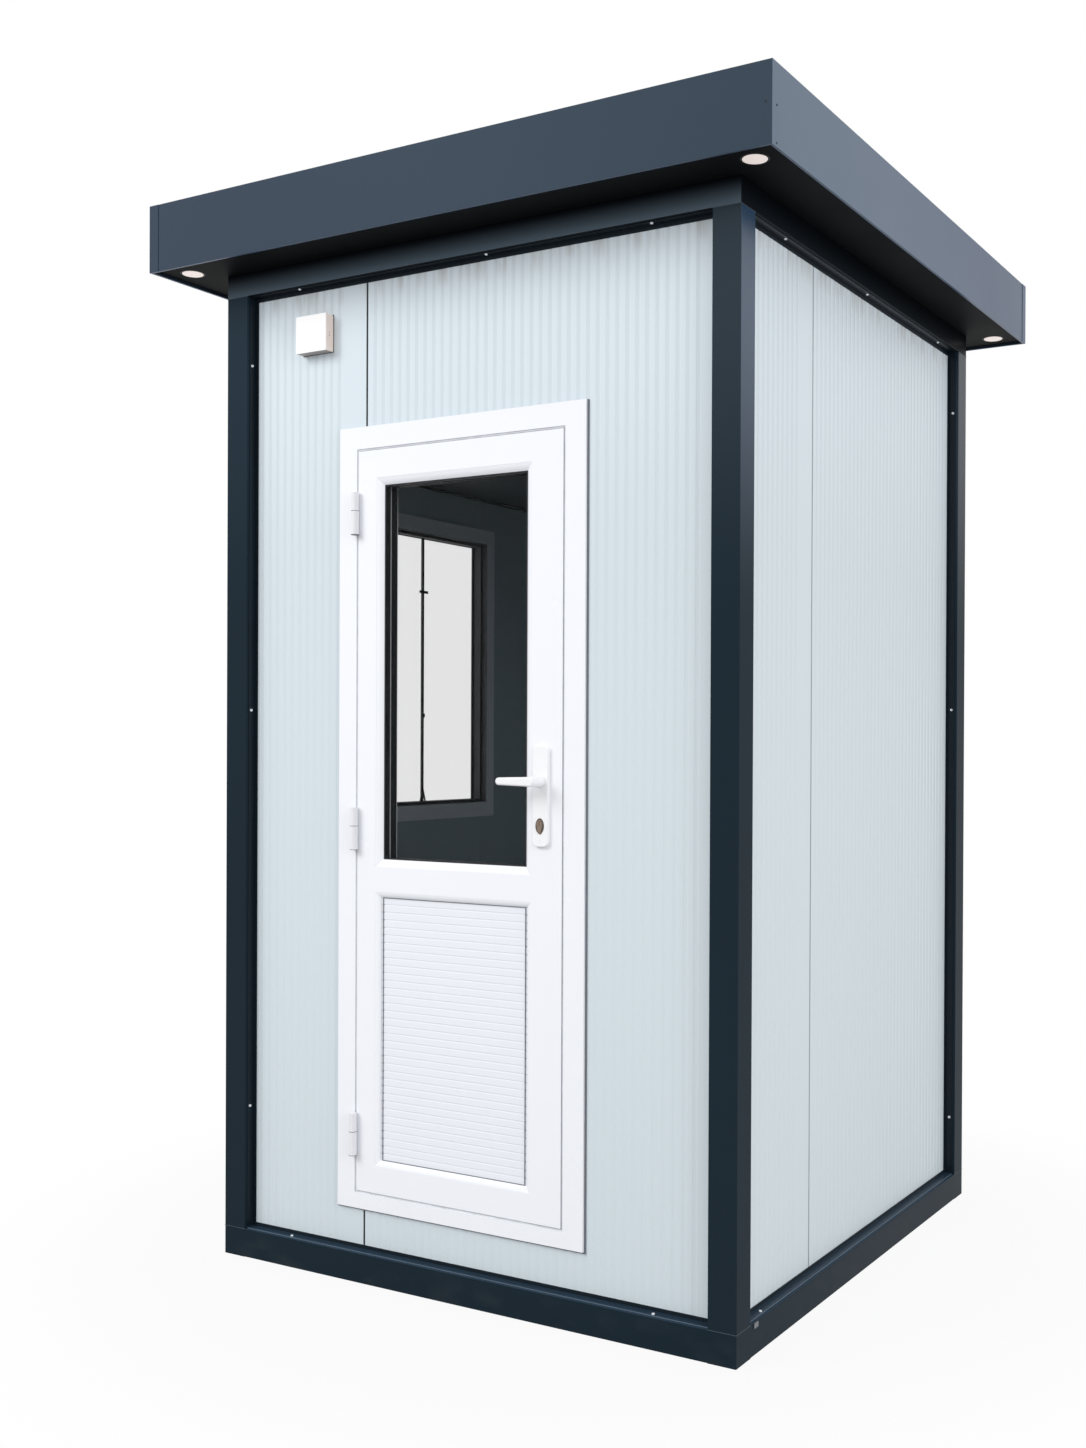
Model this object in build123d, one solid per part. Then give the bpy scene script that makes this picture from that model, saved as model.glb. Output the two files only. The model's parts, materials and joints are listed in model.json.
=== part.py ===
"""Security guard booth: a steel-framed cabin of sandwich panels with a glazed door.

Millimetres, +Z up, origin at the middle of the base on the ground.
The door wall faces -Y, the plain side wall +X, and the window wall -X.
Wall pieces are drawn in the door wall's place and turned about Z to their own wall.
"""
import os

from build123d import *

# Steel frame
FRAME_WIDTH = 1500
BASE_HEIGHT = 73
POST_SIZE = 70
POST_TOP = 2497
BEAM_HEIGHT = 103
TUBE_WALL = 3
TUBE_EDGE = 2
JOIST_WIDTH = 50
JOIST_COUNT = 3
FLOOR_THICKNESS = 18

# Sandwich panels
PANEL_THICKNESS = 40
PANEL_JOINT = -304
LEFT_JOINT = -275
JOINT_GAP = 6
JOINT_DEPTH = 10
INNER_GROOVE_WIDTH = 3
INNER_GROOVE_DEPTH = 2
RIB_PITCH = 26
RIB_CREST = 13
RIB_SLOPE = 3
RIB_DEPTH = 0.6
RIB_START = 6
JOINT_MARGIN = 80
END_MARGIN = 41
CEILING_OVER_DOOR = 47
CEILING_THICKNESS = 40
CEILING_TRIM_DROP = 8
CEILING_TRIM_WIDTH = 15

# Angle beads that hold the panels in the frame
BEAD_SHEET = 1.5
BEAD_FOOT = 22
BEAD_LEG = 12
MITRE_GAP = 0.4

# Roof
OVERHANG = 137
FASCIA_BOTTOM = 2550
FASCIA_HEIGHT = 172
FASCIA_SHEET = 2
FASCIA_TOP_RETURN = 30
FASCIA_TOP_TURNDOWN = 12
FASCIA_HEM_WIDTH = 6
SOFFIT_RECESS = 7
SOFFIT_SHEET = 2
CORNER_STRIP = 30
CORNER_STRIP_SHEET = 1
ROOF_CORE = 40
ROOF_RIB_HEIGHT = 35
ROOF_RIB_COUNT = 7
ROOF_RIB_BASE = 70
ROOF_RIB_CREST = 30

# Downlights in the soffit
LIGHT_INSET = 75
LENS_RADIUS = 27
LENS_DROP = 1
LIGHT_HOLE_RADIUS = 32
LIGHT_BODY_HEIGHT = 24

# Door
DOOR_CENTRE = -19
LEAF_WIDTH = 608
LEAF_BOTTOM = 222
LEAF_HEIGHT = 1843
LEAF_GAP = 6
FRAME_FACE = 55
FRAME_BOTTOM_FACE = 39
FRAME_DEPTH = 60
FLANGE_OVERLAP = 25
FLANGE_PROUD = 8
LEAF_LIP = 16
LEAF_REBATE = 21
HINGE_STILE = 58
LOCK_STILE = 86
TOP_RAIL = 69
MID_RAIL = 63
MID_RAIL_BOTTOM = 970
BOTTOM_RAIL = 69
GLAZING_SLOPE = 18
GLAZING_DEPTH = 11
INFILL_SLOPE = 13
INFILL_DEPTH = 9
GLAZING_SEAM = 0.5
GLAZING_BULGE = 1.5
GLAZING_TOE = 1.5
REBATE_GRIP = 14
PANE_THICKNESS = 24
PANE_PLAY = 0.5
INFILL_RIB_PITCH = 18.7
INFILL_GROOVE_WIDTH = 5
INFILL_GROOVE_DEPTH = 1.4

# Door furniture
LOCK_SETBACK = 55
PLATE_WIDTH = 44
PLATE_HEIGHT = 236
PLATE_THICKNESS = 9
PLATE_CORNER = 14
PLATE_EDGE = 3
PLATE_TOP = 1336
LEVER_DROP = 84
CYLINDER_DROP = 181
LEVER_NECK_RADIUS = 10
LEVER_HUB_RADIUS = 14
LEVER_HUB_GAP = 0.3
LEVER_PROUD = 48
LEVER_LENGTH = 96
LEVER_ROOT_RADIUS = 11.5
LEVER_TIP_RADIUS = 9
LEVER_DEEP = 13
LEVER_EDGE = 5
SPINDLE_SIZE = 8
SPINDLE_HOLE_RADIUS = 9
CYLINDER_RADIUS = 8.5
CYLINDER_WEB = 10
CYLINDER_TALL = 33
CYLINDER_PROUD = 2
CYLINDER_MARGIN = 0.9
RUNNING_CLEARANCE = 0.05
FIT_CLEARANCE = 0.2

# Hinges
HINGE_HEIGHTS = (364, 1126, 1910)
HINGE_LENGTH = 104
HINGE_LOWER_SHARE = 58
HINGE_BARREL_RADIUS = 10
HINGE_UPPER_RADIUS = 9.4
HINGE_COLLAR = 5
HINGE_STANDOFF = 0.5
HINGE_PIN_RADIUS = 4
HINGE_SPLIT_GAP = 0.6
HINGE_FLAG = 2.5
HINGE_FLAG_DEPTH = 13

# Window in the left wall, as its outer frame
WINDOW_CENTRE = 35
WINDOW_WIDTH = 740
WINDOW_HEIGHT = 908
WINDOW_UNDER_CEILING = 97
WINDOW_FACE = 45
WINDOW_TRIM_THICKNESS = 8
WINDOW_SASH = 10
WINDOW_SASH_RECESS = 6
WINDOW_SASH_DEPTH = 36
WINDOW_PANE_DEPTH = 10
WINDOW_PANE_THICKNESS = 12
WINDOW_PANE_GRIP = 6
WINDOW_BAR = 8
WINDOW_BAR_PLACE = -8
WINDOW_BAR_DEPTH = 6

# Wall lamp
LAMP_CENTRE = -463
LAMP_BOTTOM = 2326
LAMP_WIDTH = 99
LAMP_HEIGHT = 93
LAMP_DEPTH = 30
LAMP_LENS = 2
LAMP_EDGE = 3

# Derived places
half = FRAME_WIDTH / 2
inner = half - POST_SIZE
panel_face = inner + PANEL_THICKNESS
beam_top = POST_TOP + BEAM_HEIGHT
roof_half = half + OVERHANG
fascia_top = FASCIA_BOTTOM + FASCIA_HEIGHT
soffit_level = FASCIA_BOTTOM + SOFFIT_RECESS
light_place = roof_half - LIGHT_INSET
door_face = -(panel_face + FLANGE_PROUD)
door_back = door_face + FRAME_DEPTH

FRONT, RIGHT, BACK, LEFT = 0, 90, 180, 270

pieces = {}


def block(x0, x1, y0, y1, z0, z1):
    """A box between two corners."""
    size = (x1 - x0, y1 - y0, z1 - z0)
    middle = ((x0 + x1) / 2, (y0 + y1) / 2, (z0 + z1) / 2)
    return Pos(*middle) * Box(*size)


def turned(solid, angle):
    """A piece drawn in the door wall's place, turned to another wall."""
    return Rot(0, 0, angle) * solid


def all_round(solid):
    """The same piece on the four sides of the booth."""
    return [turned(solid, angle) for angle in (FRONT, RIGHT, BACK, LEFT)]


def grown(area, margin):
    """A rectangle (x0, x1, z0, z1) made larger on every side."""
    x0, x1, z0, z1 = area
    return (x0 - margin, x1 + margin, z0 - margin, z1 + margin)


def plate(area, y0, y1):
    """An upright slab over a rectangle (x0, x1, z0, z1)."""
    x0, x1, z0, z1 = area
    return block(x0, x1, y0, y1, z0, z1)


def square_tube(length, width, height):
    """A hollow rail along X with rounded long edges, centred on its section."""
    outside = Box(length, width, height)
    outside = fillet(outside.edges().filter_by(Axis.X), TUBE_EDGE)
    return outside - Box(length, width - 2 * TUBE_WALL, height - 2 * TUBE_WALL)


def round_upright(post, count):
    """Rounds the upright edges of a front right corner piece that lie furthest out."""
    upright = post.edges().filter_by(Axis.Z).sort_by(lambda edge: edge.center().X - edge.center().Y)
    return fillet(upright[-count:], TUBE_EDGE)


def skin_line(start, end, joint):
    """Plan line of a wall's outer skin between two places along it, with ribs and joint."""
    points = [(-inner, 0)]
    for left, right, margin in ((-inner, joint, JOINT_MARGIN), (joint, inner, END_MARGIN)):
        valley = RIB_PITCH - RIB_CREST - 2 * RIB_SLOPE
        place = left + RIB_START
        while place + RIB_PITCH < right - margin:
            a = place + RIB_CREST
            b = a + RIB_SLOPE
            c = b + valley
            points += [(a, 0), (b, -RIB_DEPTH), (c, -RIB_DEPTH), (c + RIB_SLOPE, 0)]
            place += RIB_PITCH
        if right == joint:
            g0 = right - JOINT_GAP / 2
            g1 = right + JOINT_GAP / 2
            points += [(g0, 0), (g0, -JOINT_DEPTH), (g1, -JOINT_DEPTH), (g1, 0)]
    points.append((inner, 0))
    return clipped(points, start, end)


def clipped(points, start, end):
    """The part of a plan line that lies between two places along the wall."""
    kept = []
    for (x0, v0), (x1, v1) in zip(points, points[1:]):
        for edge in (start, end):
            if x0 < edge < x1:
                kept.append((edge, v0 + (v1 - v0) * (edge - x0) / (x1 - x0)))
        if start <= x1 <= end:
            kept.append((x1, v1))
    kept = sorted_run([(x, v) for x, v in [points[0]] + kept if start <= x <= end])
    return kept


def sorted_run(points):
    """Points of a line in order, without repeats."""
    run = []
    for point in points:
        if not run or point != run[-1]:
            run.append(point)
    return run


def lining_line(start, end, joint):
    """Plan line of a wall's inner skin, flat but for a fine groove at the joint."""
    g = INNER_GROOVE_WIDTH / 2
    points = [(-inner, 0), (joint - g, 0), (joint, INNER_GROOVE_DEPTH), (joint + g, 0), (inner, 0)]
    return clipped(points, start, end)


def wall_slab(start, end, bottom, top, joint=PANEL_JOINT):
    """A piece of sandwich wall: ribbed outer skin, flat inner skin."""
    skin = [(x, -panel_face - v) for x, v in skin_line(start, end, joint)]
    lining = [(x, -inner - v) for x, v in lining_line(start, end, joint)]
    face = make_face(Polyline(*skin, *reversed(lining), close=True))
    return Pos(0, 0, bottom) * extrude(face, top - bottom, dir=(0, 0, 1))


def save_base():
    """Base rails with corner blocks, joists and floor."""
    rail = Pos(0, -(half - POST_SIZE / 2), BASE_HEIGHT / 2) * square_tube(2 * inner, POST_SIZE, BASE_HEIGHT)
    pieces["base_rails"] = all_round(rail)
    corner = round_upright(block(inner, half, -half, -inner, 0, BASE_HEIGHT), 1)
    pieces["base_corners"] = all_round(corner)
    joist_height = BASE_HEIGHT - FLOOR_THICKNESS
    step = 2 * inner / (JOIST_COUNT + 1)
    joists = []
    for i in range(JOIST_COUNT):
        y = -inner + step * (i + 1)
        joists.append(Pos(0, y, joist_height / 2) * square_tube(2 * inner, JOIST_WIDTH, joist_height))
    pieces["floor_joists"] = joists
    pieces["floor_deck"] = block(-inner, inner, -inner, inner, joist_height, BASE_HEIGHT)


def save_frame():
    """Corner posts, top beams and top corner blocks."""
    outside = round_upright(block(inner, half, -half, -inner, BASE_HEIGHT, POST_TOP), 3)
    hollow = block(inner + TUBE_WALL, half - TUBE_WALL, -half + TUBE_WALL, -inner - TUBE_WALL, BASE_HEIGHT, POST_TOP)
    names = ("front_right", "back_right", "back_left", "front_left")
    for name, post in zip(names, all_round(outside - hollow)):
        pieces["corner_post_" + name] = post
    beam = square_tube(2 * inner, POST_SIZE, BEAM_HEIGHT)
    pieces["top_beams"] = all_round(Pos(0, -(half - POST_SIZE / 2), POST_TOP + BEAM_HEIGHT / 2) * beam)
    corner = round_upright(block(inner, half, -half, -inner, POST_TOP, beam_top), 1)
    pieces["top_corners"] = all_round(corner)


def save_walls():
    """Panels of the four walls, split beside the door and the window."""
    door_x0, door_x1, door_z0, door_z1 = door_hole
    pieces["front_panel_left"] = wall_slab(-inner, door_x0, BASE_HEIGHT, POST_TOP)
    pieces["front_panel_right"] = wall_slab(door_x1, inner, BASE_HEIGHT, POST_TOP)
    pieces["front_panel_over_door"] = wall_slab(door_x0, door_x1, door_z1, POST_TOP)
    pieces["front_panel_under_door"] = wall_slab(door_x0, door_x1, BASE_HEIGHT, door_z0)
    for wall, angle in (("right", RIGHT), ("back", BACK)):
        first = wall_slab(-inner, PANEL_JOINT, BASE_HEIGHT, POST_TOP)
        second = wall_slab(PANEL_JOINT, inner, BASE_HEIGHT, POST_TOP)
        pieces[wall + "_panel_narrow"] = turned(first, angle)
        pieces[wall + "_panel_wide"] = turned(second, angle)
    x0, x1, z0, z1 = window_hole
    parts = {
        "back": (-inner, x0, BASE_HEIGHT, POST_TOP),
        "front": (x1, inner, BASE_HEIGHT, POST_TOP),
        "over_window": (x0, x1, z1, POST_TOP),
        "under_window": (x0, x1, BASE_HEIGHT, z0),
    }
    for name, extent in parts.items():
        pieces["left_panel_" + name] = turned(wall_slab(*extent, LEFT_JOINT), LEFT)


def mitred(ring, area, y, width, depth):
    """A ring along a rectangle's inside, sawn through at its corners into four lengths."""
    x0, x1, z0, z1 = area
    for x, sx in ((x0, 1), (x1, -1)):
        for z, sz in ((z0, 1), (z1, -1)):
            saw = Rot(0, -45 * sx * sz, 0) * Box(4 * width, 4 * depth, MITRE_GAP)
            ring -= Pos(x, y, z) * saw
    return ring


def bead_ring():
    """Four mitred angles round one wall opening, foot on the frame, leg on the panel."""
    opening = (-inner, inner, BASE_HEIGHT, POST_TOP)
    y_foot = -panel_face - BEAD_FOOT
    y_leg = -panel_face - BEAD_SHEET
    foot = plate(opening, y_foot, -panel_face) - plate(grown(opening, -BEAD_SHEET), y_foot, -panel_face)
    leg = plate(opening, y_leg, -panel_face) - plate(grown(opening, -BEAD_LEG), y_leg, -panel_face)
    return mitred(foot + leg, opening, -panel_face, BEAD_LEG, BEAD_FOOT)


def save_beads():
    """Panel beads of the four walls."""
    beads = []
    for ring in all_round(bead_ring()):
        beads += list(ring.solids())
    pieces["panel_beads"] = beads


def fascia_side():
    """Folded fascia of the front: face, top return with turn-down, bottom hem."""
    out = -roof_half
    face = [
        (out, FASCIA_BOTTOM),
        (out + FASCIA_HEM_WIDTH, FASCIA_BOTTOM),
        (out + FASCIA_HEM_WIDTH, soffit_level),
        (out + FASCIA_SHEET, soffit_level),
        (out + FASCIA_SHEET, fascia_top - FASCIA_SHEET),
        (out + FASCIA_TOP_RETURN - FASCIA_SHEET, fascia_top - FASCIA_SHEET),
        (out + FASCIA_TOP_RETURN - FASCIA_SHEET, fascia_top - FASCIA_TOP_TURNDOWN),
        (out + FASCIA_TOP_RETURN, fascia_top - FASCIA_TOP_TURNDOWN),
        (out + FASCIA_TOP_RETURN, fascia_top),
        (out, fascia_top),
    ]
    section = make_face(Plane.YZ * Polyline(*face, close=True))
    bar = Pos(-roof_half, 0, 0) * extrude(section, 2 * roof_half, dir=(1, 0, 0))
    wedge = [(-roof_half, -roof_half), (roof_half, -roof_half), (0, 0)]
    corner_cut = make_face(Polyline(*wedge, close=True))
    keep = Pos(0, 0, FASCIA_BOTTOM) * extrude(corner_cut, FASCIA_HEIGHT, dir=(0, 0, 1))
    return bar & keep


def corner_strip():
    """Folded strip that laps the front left corner of the fascia."""
    far = roof_half + CORNER_STRIP_SHEET
    near = roof_half - CORNER_STRIP
    outside = block(-far, -near, -far, -near, FASCIA_BOTTOM, fascia_top)
    return outside - block(-roof_half, -near, -roof_half, -near, FASCIA_BOTTOM, fascia_top)


def save_roof():
    """Fascia, soffit, downlights and the ribbed roof panel inside the parapet."""
    names = ("fascia_front", "fascia_right", "fascia_back", "fascia_left")
    for name, side in zip(names, all_round(fascia_side())):
        pieces[name] = side
    pieces["corner_strips"] = [corner_strip(), turned(corner_strip(), BACK)]
    edge = roof_half - FASCIA_SHEET
    top = soffit_level + SOFFIT_SHEET
    board = block(-edge, edge, -edge, -half, soffit_level, top)
    for x in (-light_place, light_place):
        board -= Pos(x, -light_place, soffit_level) * Cylinder(LIGHT_HOLE_RADIUS, 4 * SOFFIT_SHEET)
    pieces["soffit_front_back"] = [board, turned(board, BACK)]
    side = block(-half, half, -edge, -half, soffit_level, top)
    pieces["soffit_sides"] = [turned(side, RIGHT), turned(side, LEFT)]
    pieces["roof_panel"] = roof_panel(edge)
    save_downlights()


def roof_panel(edge):
    """Roof panel: insulated core with trapezoid ribs that run front to back."""
    top = beam_top + ROOF_CORE
    pitch = 2 * edge / ROOF_RIB_COUNT
    line = [(-edge, beam_top), (-edge, top)]
    for i in range(ROOF_RIB_COUNT):
        x = -edge + pitch * (i + 0.5)
        line += [
            (x - ROOF_RIB_BASE / 2, top),
            (x - ROOF_RIB_CREST / 2, top + ROOF_RIB_HEIGHT),
            (x + ROOF_RIB_CREST / 2, top + ROOF_RIB_HEIGHT),
            (x + ROOF_RIB_BASE / 2, top),
        ]
    line += [(edge, top), (edge, beam_top)]
    section = make_face(Plane.XZ * Polyline(*line, close=True))
    return Pos(0, edge, 0) * extrude(section, 2 * edge, dir=(0, -1, 0))


def save_downlights():
    """Round lights in the soffit corners: a dark cup with a white lens."""
    cup_top = soffit_level + LIGHT_BODY_HEIGHT
    cup = Cylinder(LIGHT_HOLE_RADIUS, LIGHT_BODY_HEIGHT, align=(Align.CENTER, Align.CENTER, Align.MIN))
    lens_depth = SOFFIT_SHEET + LENS_DROP
    seat = Cylinder(LENS_RADIUS, SOFFIT_SHEET, align=(Align.CENTER, Align.CENTER, Align.MIN))
    lens = Cylinder(LENS_RADIUS, lens_depth, align=(Align.CENTER, Align.CENTER, Align.MIN))
    lens = fillet(lens.edges().group_by(Axis.Z)[0], LENS_DROP)
    corner = Pos(light_place, -light_place, soffit_level)
    pieces["downlight_cups"] = all_round(corner * (cup - seat))
    pieces["downlight_lenses"] = all_round(corner * Pos(0, 0, -LENS_DROP) * lens)


def save_ceiling():
    """Ceiling panel on its dark edge trim."""
    top = ceiling_level + CEILING_THICKNESS
    pieces["ceiling_panel"] = block(-inner, inner, -inner, inner, ceiling_level, top)
    low = ceiling_level - CEILING_TRIM_DROP
    trim = block(-inner, inner, -inner, inner, low, ceiling_level)
    clear = inner - CEILING_TRIM_WIDTH
    pieces["ceiling_trim"] = trim - block(-clear, clear, -clear, clear, low, ceiling_level)


# Door outlines, each (x0, x1, z0, z1)
leaf_edge = (
    DOOR_CENTRE - LEAF_WIDTH / 2,
    DOOR_CENTRE + LEAF_WIDTH / 2,
    LEAF_BOTTOM,
    LEAF_BOTTOM + LEAF_HEIGHT,
)
leaf_hole = grown(leaf_edge, LEAF_GAP)
door_flange = (
    leaf_hole[0] - FRAME_FACE,
    leaf_hole[1] + FRAME_FACE,
    leaf_hole[2] - FRAME_BOTTOM_FACE,
    leaf_hole[3] + FRAME_FACE,
)
door_hole = grown(door_flange, -FLANGE_OVERLAP)
leaf_back = grown(leaf_edge, -LEAF_REBATE)
glass_opening = (
    leaf_edge[0] + HINGE_STILE,
    leaf_edge[1] - LOCK_STILE,
    MID_RAIL_BOTTOM + MID_RAIL,
    leaf_edge[3] - TOP_RAIL,
)
infill_opening = (glass_opening[0], glass_opening[1], LEAF_BOTTOM + BOTTOM_RAIL, MID_RAIL_BOTTOM)
glass_sight = grown(glass_opening, -GLAZING_SLOPE)
infill_sight = grown(infill_opening, -INFILL_SLOPE)
glass_rebate = grown(glass_sight, REBATE_GRIP)
infill_rebate = (
    glass_rebate[0],
    glass_rebate[1],
    infill_sight[2] - REBATE_GRIP / 2,
    infill_sight[3] + REBATE_GRIP / 2,
)
lock_x = leaf_edge[1] - LOCK_SETBACK
lever_z = PLATE_TOP - LEVER_DROP
cylinder_z = PLATE_TOP - CYLINDER_DROP
ceiling_level = leaf_edge[3] + CEILING_OVER_DOOR
window_head = ceiling_level - WINDOW_UNDER_CEILING

# Window outlines in the door wall's place
window_flange = (
    WINDOW_CENTRE - WINDOW_WIDTH / 2,
    WINDOW_CENTRE + WINDOW_WIDTH / 2,
    window_head - WINDOW_HEIGHT,
    window_head,
)
window_hole = grown(window_flange, -FLANGE_OVERLAP)


def cylinder_outline(clearance):
    """Outline of the lock cylinder: a round plug over a rounded web."""
    round_part = Circle(CYLINDER_RADIUS + clearance)
    web_width = CYLINDER_WEB + 2 * clearance
    web_tall = CYLINDER_TALL - CYLINDER_RADIUS - web_width / 2 + clearance
    web = Pos(0, -web_tall / 2) * Rectangle(web_width, web_tall)
    foot = Pos(0, -web_tall) * Circle(web_width / 2)
    return round_part + web + foot


def through(sketch, x, z, y0, y1):
    """A sketch pushed along Y between two places, centred at x and z."""
    return extrude(Plane.XZ.offset(-y1) * Pos(x, z) * sketch, y1 - y0)


def save_door_frame():
    """Plastic door frame: cover flange, body and stop in one welded ring."""
    stop_front = door_face + LEAF_LIP + LEAF_GAP
    stop_hole = grown(leaf_hole, -LEAF_REBATE)
    body = plate(door_flange, door_face, -panel_face) + plate(door_hole, door_face, door_back)
    body -= plate(leaf_hole, door_face, stop_front)
    body -= plate(stop_hole, stop_front, door_back)
    pieces["door_frame"] = body


def glazing_bead(length, depth, slope):
    """One mitred bead along X, its foot at z = 0: a soft convex slope from the door's face to the glass."""
    face = door_face + GLAZING_SEAM
    back = door_face + depth
    toe = (back - GLAZING_TOE, slope)
    crown = SagittaArc((face, 0), toe, GLAZING_BULGE)
    rest = Polyline(toe, (back, slope), (back, 0), (face, 0))
    section = make_face(Plane.YZ * (crown + rest))
    bar = Pos(-length / 2, 0, 0) * extrude(section, length, dir=(1, 0, 0))
    end = length / 2 - MITRE_GAP / 2
    mitre = Polyline((-end, 0), (end, 0), (end - slope, slope), (slope - end, slope), close=True)
    return bar & Pos(0, back, 0) * extrude(make_face(Plane.XZ * mitre), depth, dir=(0, -1, 0))


def glazing_beads(area, depth, slope):
    """The four beads round an opening in the leaf."""
    x0, x1, z0, z1 = area
    middle = ((x0 + x1) / 2, (z0 + z1) / 2)
    level = glazing_bead(x1 - x0, depth, slope)
    upright = glazing_bead(z1 - z0, depth, slope)
    return [
        Pos(middle[0], 0, z0) * level,
        Pos(middle[0], 0, z1) * Rot(0, 180, 0) * level,
        Pos(x0, 0, middle[1]) * Rot(0, 90, 0) * upright,
        Pos(x1, 0, middle[1]) * Rot(0, -90, 0) * upright,
    ]


def save_door_leaf():
    """Door leaf with glass above and a ribbed infill below."""
    lip_back = door_face + LEAF_LIP
    leaf = plate(leaf_edge, door_face, lip_back) + plate(leaf_back, lip_back, door_back)
    glass_face = door_face + GLAZING_DEPTH
    infill_face = door_face + INFILL_DEPTH
    leaf -= plate(glass_opening, door_face, glass_face)
    leaf -= plate(infill_opening, door_face, infill_face)
    leaf -= plate(glass_rebate, glass_face, door_back)
    leaf -= plate(infill_rebate, infill_face, door_back)
    leaf -= through(Circle(SPINDLE_HOLE_RADIUS), lock_x, lever_z, door_face, door_back)
    leaf -= through(cylinder_outline(FIT_CLEARANCE), lock_x, cylinder_z, door_face, door_back)
    pieces["door_leaf"] = leaf
    pieces["door_glass"] = plate(grown(glass_rebate, -PANE_PLAY), glass_face, glass_face + PANE_THICKNESS)
    pieces["door_infill"] = infill_board(infill_face)
    upper = glazing_beads(glass_opening, GLAZING_DEPTH, GLAZING_SLOPE)
    lower = glazing_beads(infill_opening, INFILL_DEPTH, INFILL_SLOPE)
    pieces["door_outer_beads"] = upper + lower
    beads = []
    for rebate, sight, face in (
        (glass_rebate, glass_sight, glass_face),
        (infill_rebate, infill_sight, infill_face),
    ):
        start = face + PANE_THICKNESS
        beads.append(plate(rebate, start, door_back) - plate(sight, start, door_back))
    pieces["door_inner_beads"] = beads


def infill_board(face):
    """Lower infill with level grooves across its outer side."""
    area = grown(infill_rebate, -PANE_PLAY)
    x0, x1, z0, z1 = area
    board = plate(area, face, face + PANE_THICKNESS)
    groove_half = INFILL_GROOVE_WIDTH / 2
    z = infill_sight[3] - INFILL_RIB_PITCH
    while z > infill_sight[2] + groove_half:
        groove = [
            (face, z - groove_half),
            (face + INFILL_GROOVE_DEPTH, z),
            (face, z + groove_half),
        ]
        cutter = extrude(make_face(Plane.YZ * Polyline(*groove, close=True)), x1 - x0, dir=(1, 0, 0))
        board -= Pos(x0, 0, 0) * cutter
        z -= INFILL_RIB_PITCH
    return board


def lever_arm():
    """Lever with hub and neck, the turning axis along Y through the origin and the grip towards -X."""
    tip = -(LEVER_LENGTH - LEVER_TIP_RADIUS)
    ends = Circle(LEVER_ROOT_RADIUS) + Pos(tip, 0) * Circle(LEVER_TIP_RADIUS)
    outline = make_hull(ends.edges())
    front = -LEVER_PROUD - LEVER_DEEP / 2
    grip = through(outline, 0, 0, front, front + LEVER_DEEP)
    grip = fillet(grip.edges().group_by(Axis.Y)[0] + grip.edges().group_by(Axis.Y)[-1], LEVER_EDGE)
    neck = through(Circle(LEVER_NECK_RADIUS), 0, 0, front + LEVER_DEEP / 2, 0)
    hub_back = PLATE_THICKNESS + LEVER_HUB_GAP
    hub_height = -front - LEVER_DEEP / 2 - hub_back
    foot = (Align.CENTER, Align.CENTER, Align.MIN)
    hub = Cone(LEVER_HUB_RADIUS, LEVER_ROOT_RADIUS, hub_height, align=foot)
    return grip + neck + Pos(0, -hub_back, 0) * Rot(90, 0, 0) * hub


def save_furniture():
    """Handle plates, levers with spindle, and the lock cylinder."""
    plate_mid = PLATE_TOP - PLATE_HEIGHT / 2
    outline = RectangleRounded(PLATE_WIDTH, PLATE_HEIGHT, PLATE_CORNER)
    back = through(outline, lock_x, plate_mid, -PLATE_THICKNESS, 0)
    back = fillet(back.edges().group_by(Axis.Y)[0], PLATE_EDGE)
    back -= through(Circle(LEVER_NECK_RADIUS + RUNNING_CLEARANCE), lock_x, lever_z, -PLATE_THICKNESS, 0)
    back -= through(cylinder_outline(CYLINDER_MARGIN), lock_x, cylinder_z, -PLATE_THICKNESS, 0)
    mirrored = mirror(back, about=Plane.XZ)
    pieces["handle_plates"] = [Pos(0, door_face, 0) * back, Pos(0, door_back, 0) * mirrored]
    outline = cylinder_outline(0)
    y0 = door_face - PLATE_THICKNESS - CYLINDER_PROUD
    y1 = door_back + PLATE_THICKNESS + CYLINDER_PROUD
    pieces["lock_cylinder"] = through(outline, lock_x, cylinder_z, y0, y1)
    arm = lever_arm()
    outside = Pos(lock_x, door_face, lever_z) * arm
    inside = Pos(lock_x, door_back, lever_z) * mirror(arm, about=Plane.XZ)
    spindle = block(
        lock_x - SPINDLE_SIZE / 2,
        lock_x + SPINDLE_SIZE / 2,
        door_face,
        door_back,
        lever_z - SPINDLE_SIZE / 2,
        lever_z + SPINDLE_SIZE / 2,
    )
    pieces["lever_outside"] = outside + spindle
    pieces["lever_inside"] = inside


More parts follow.
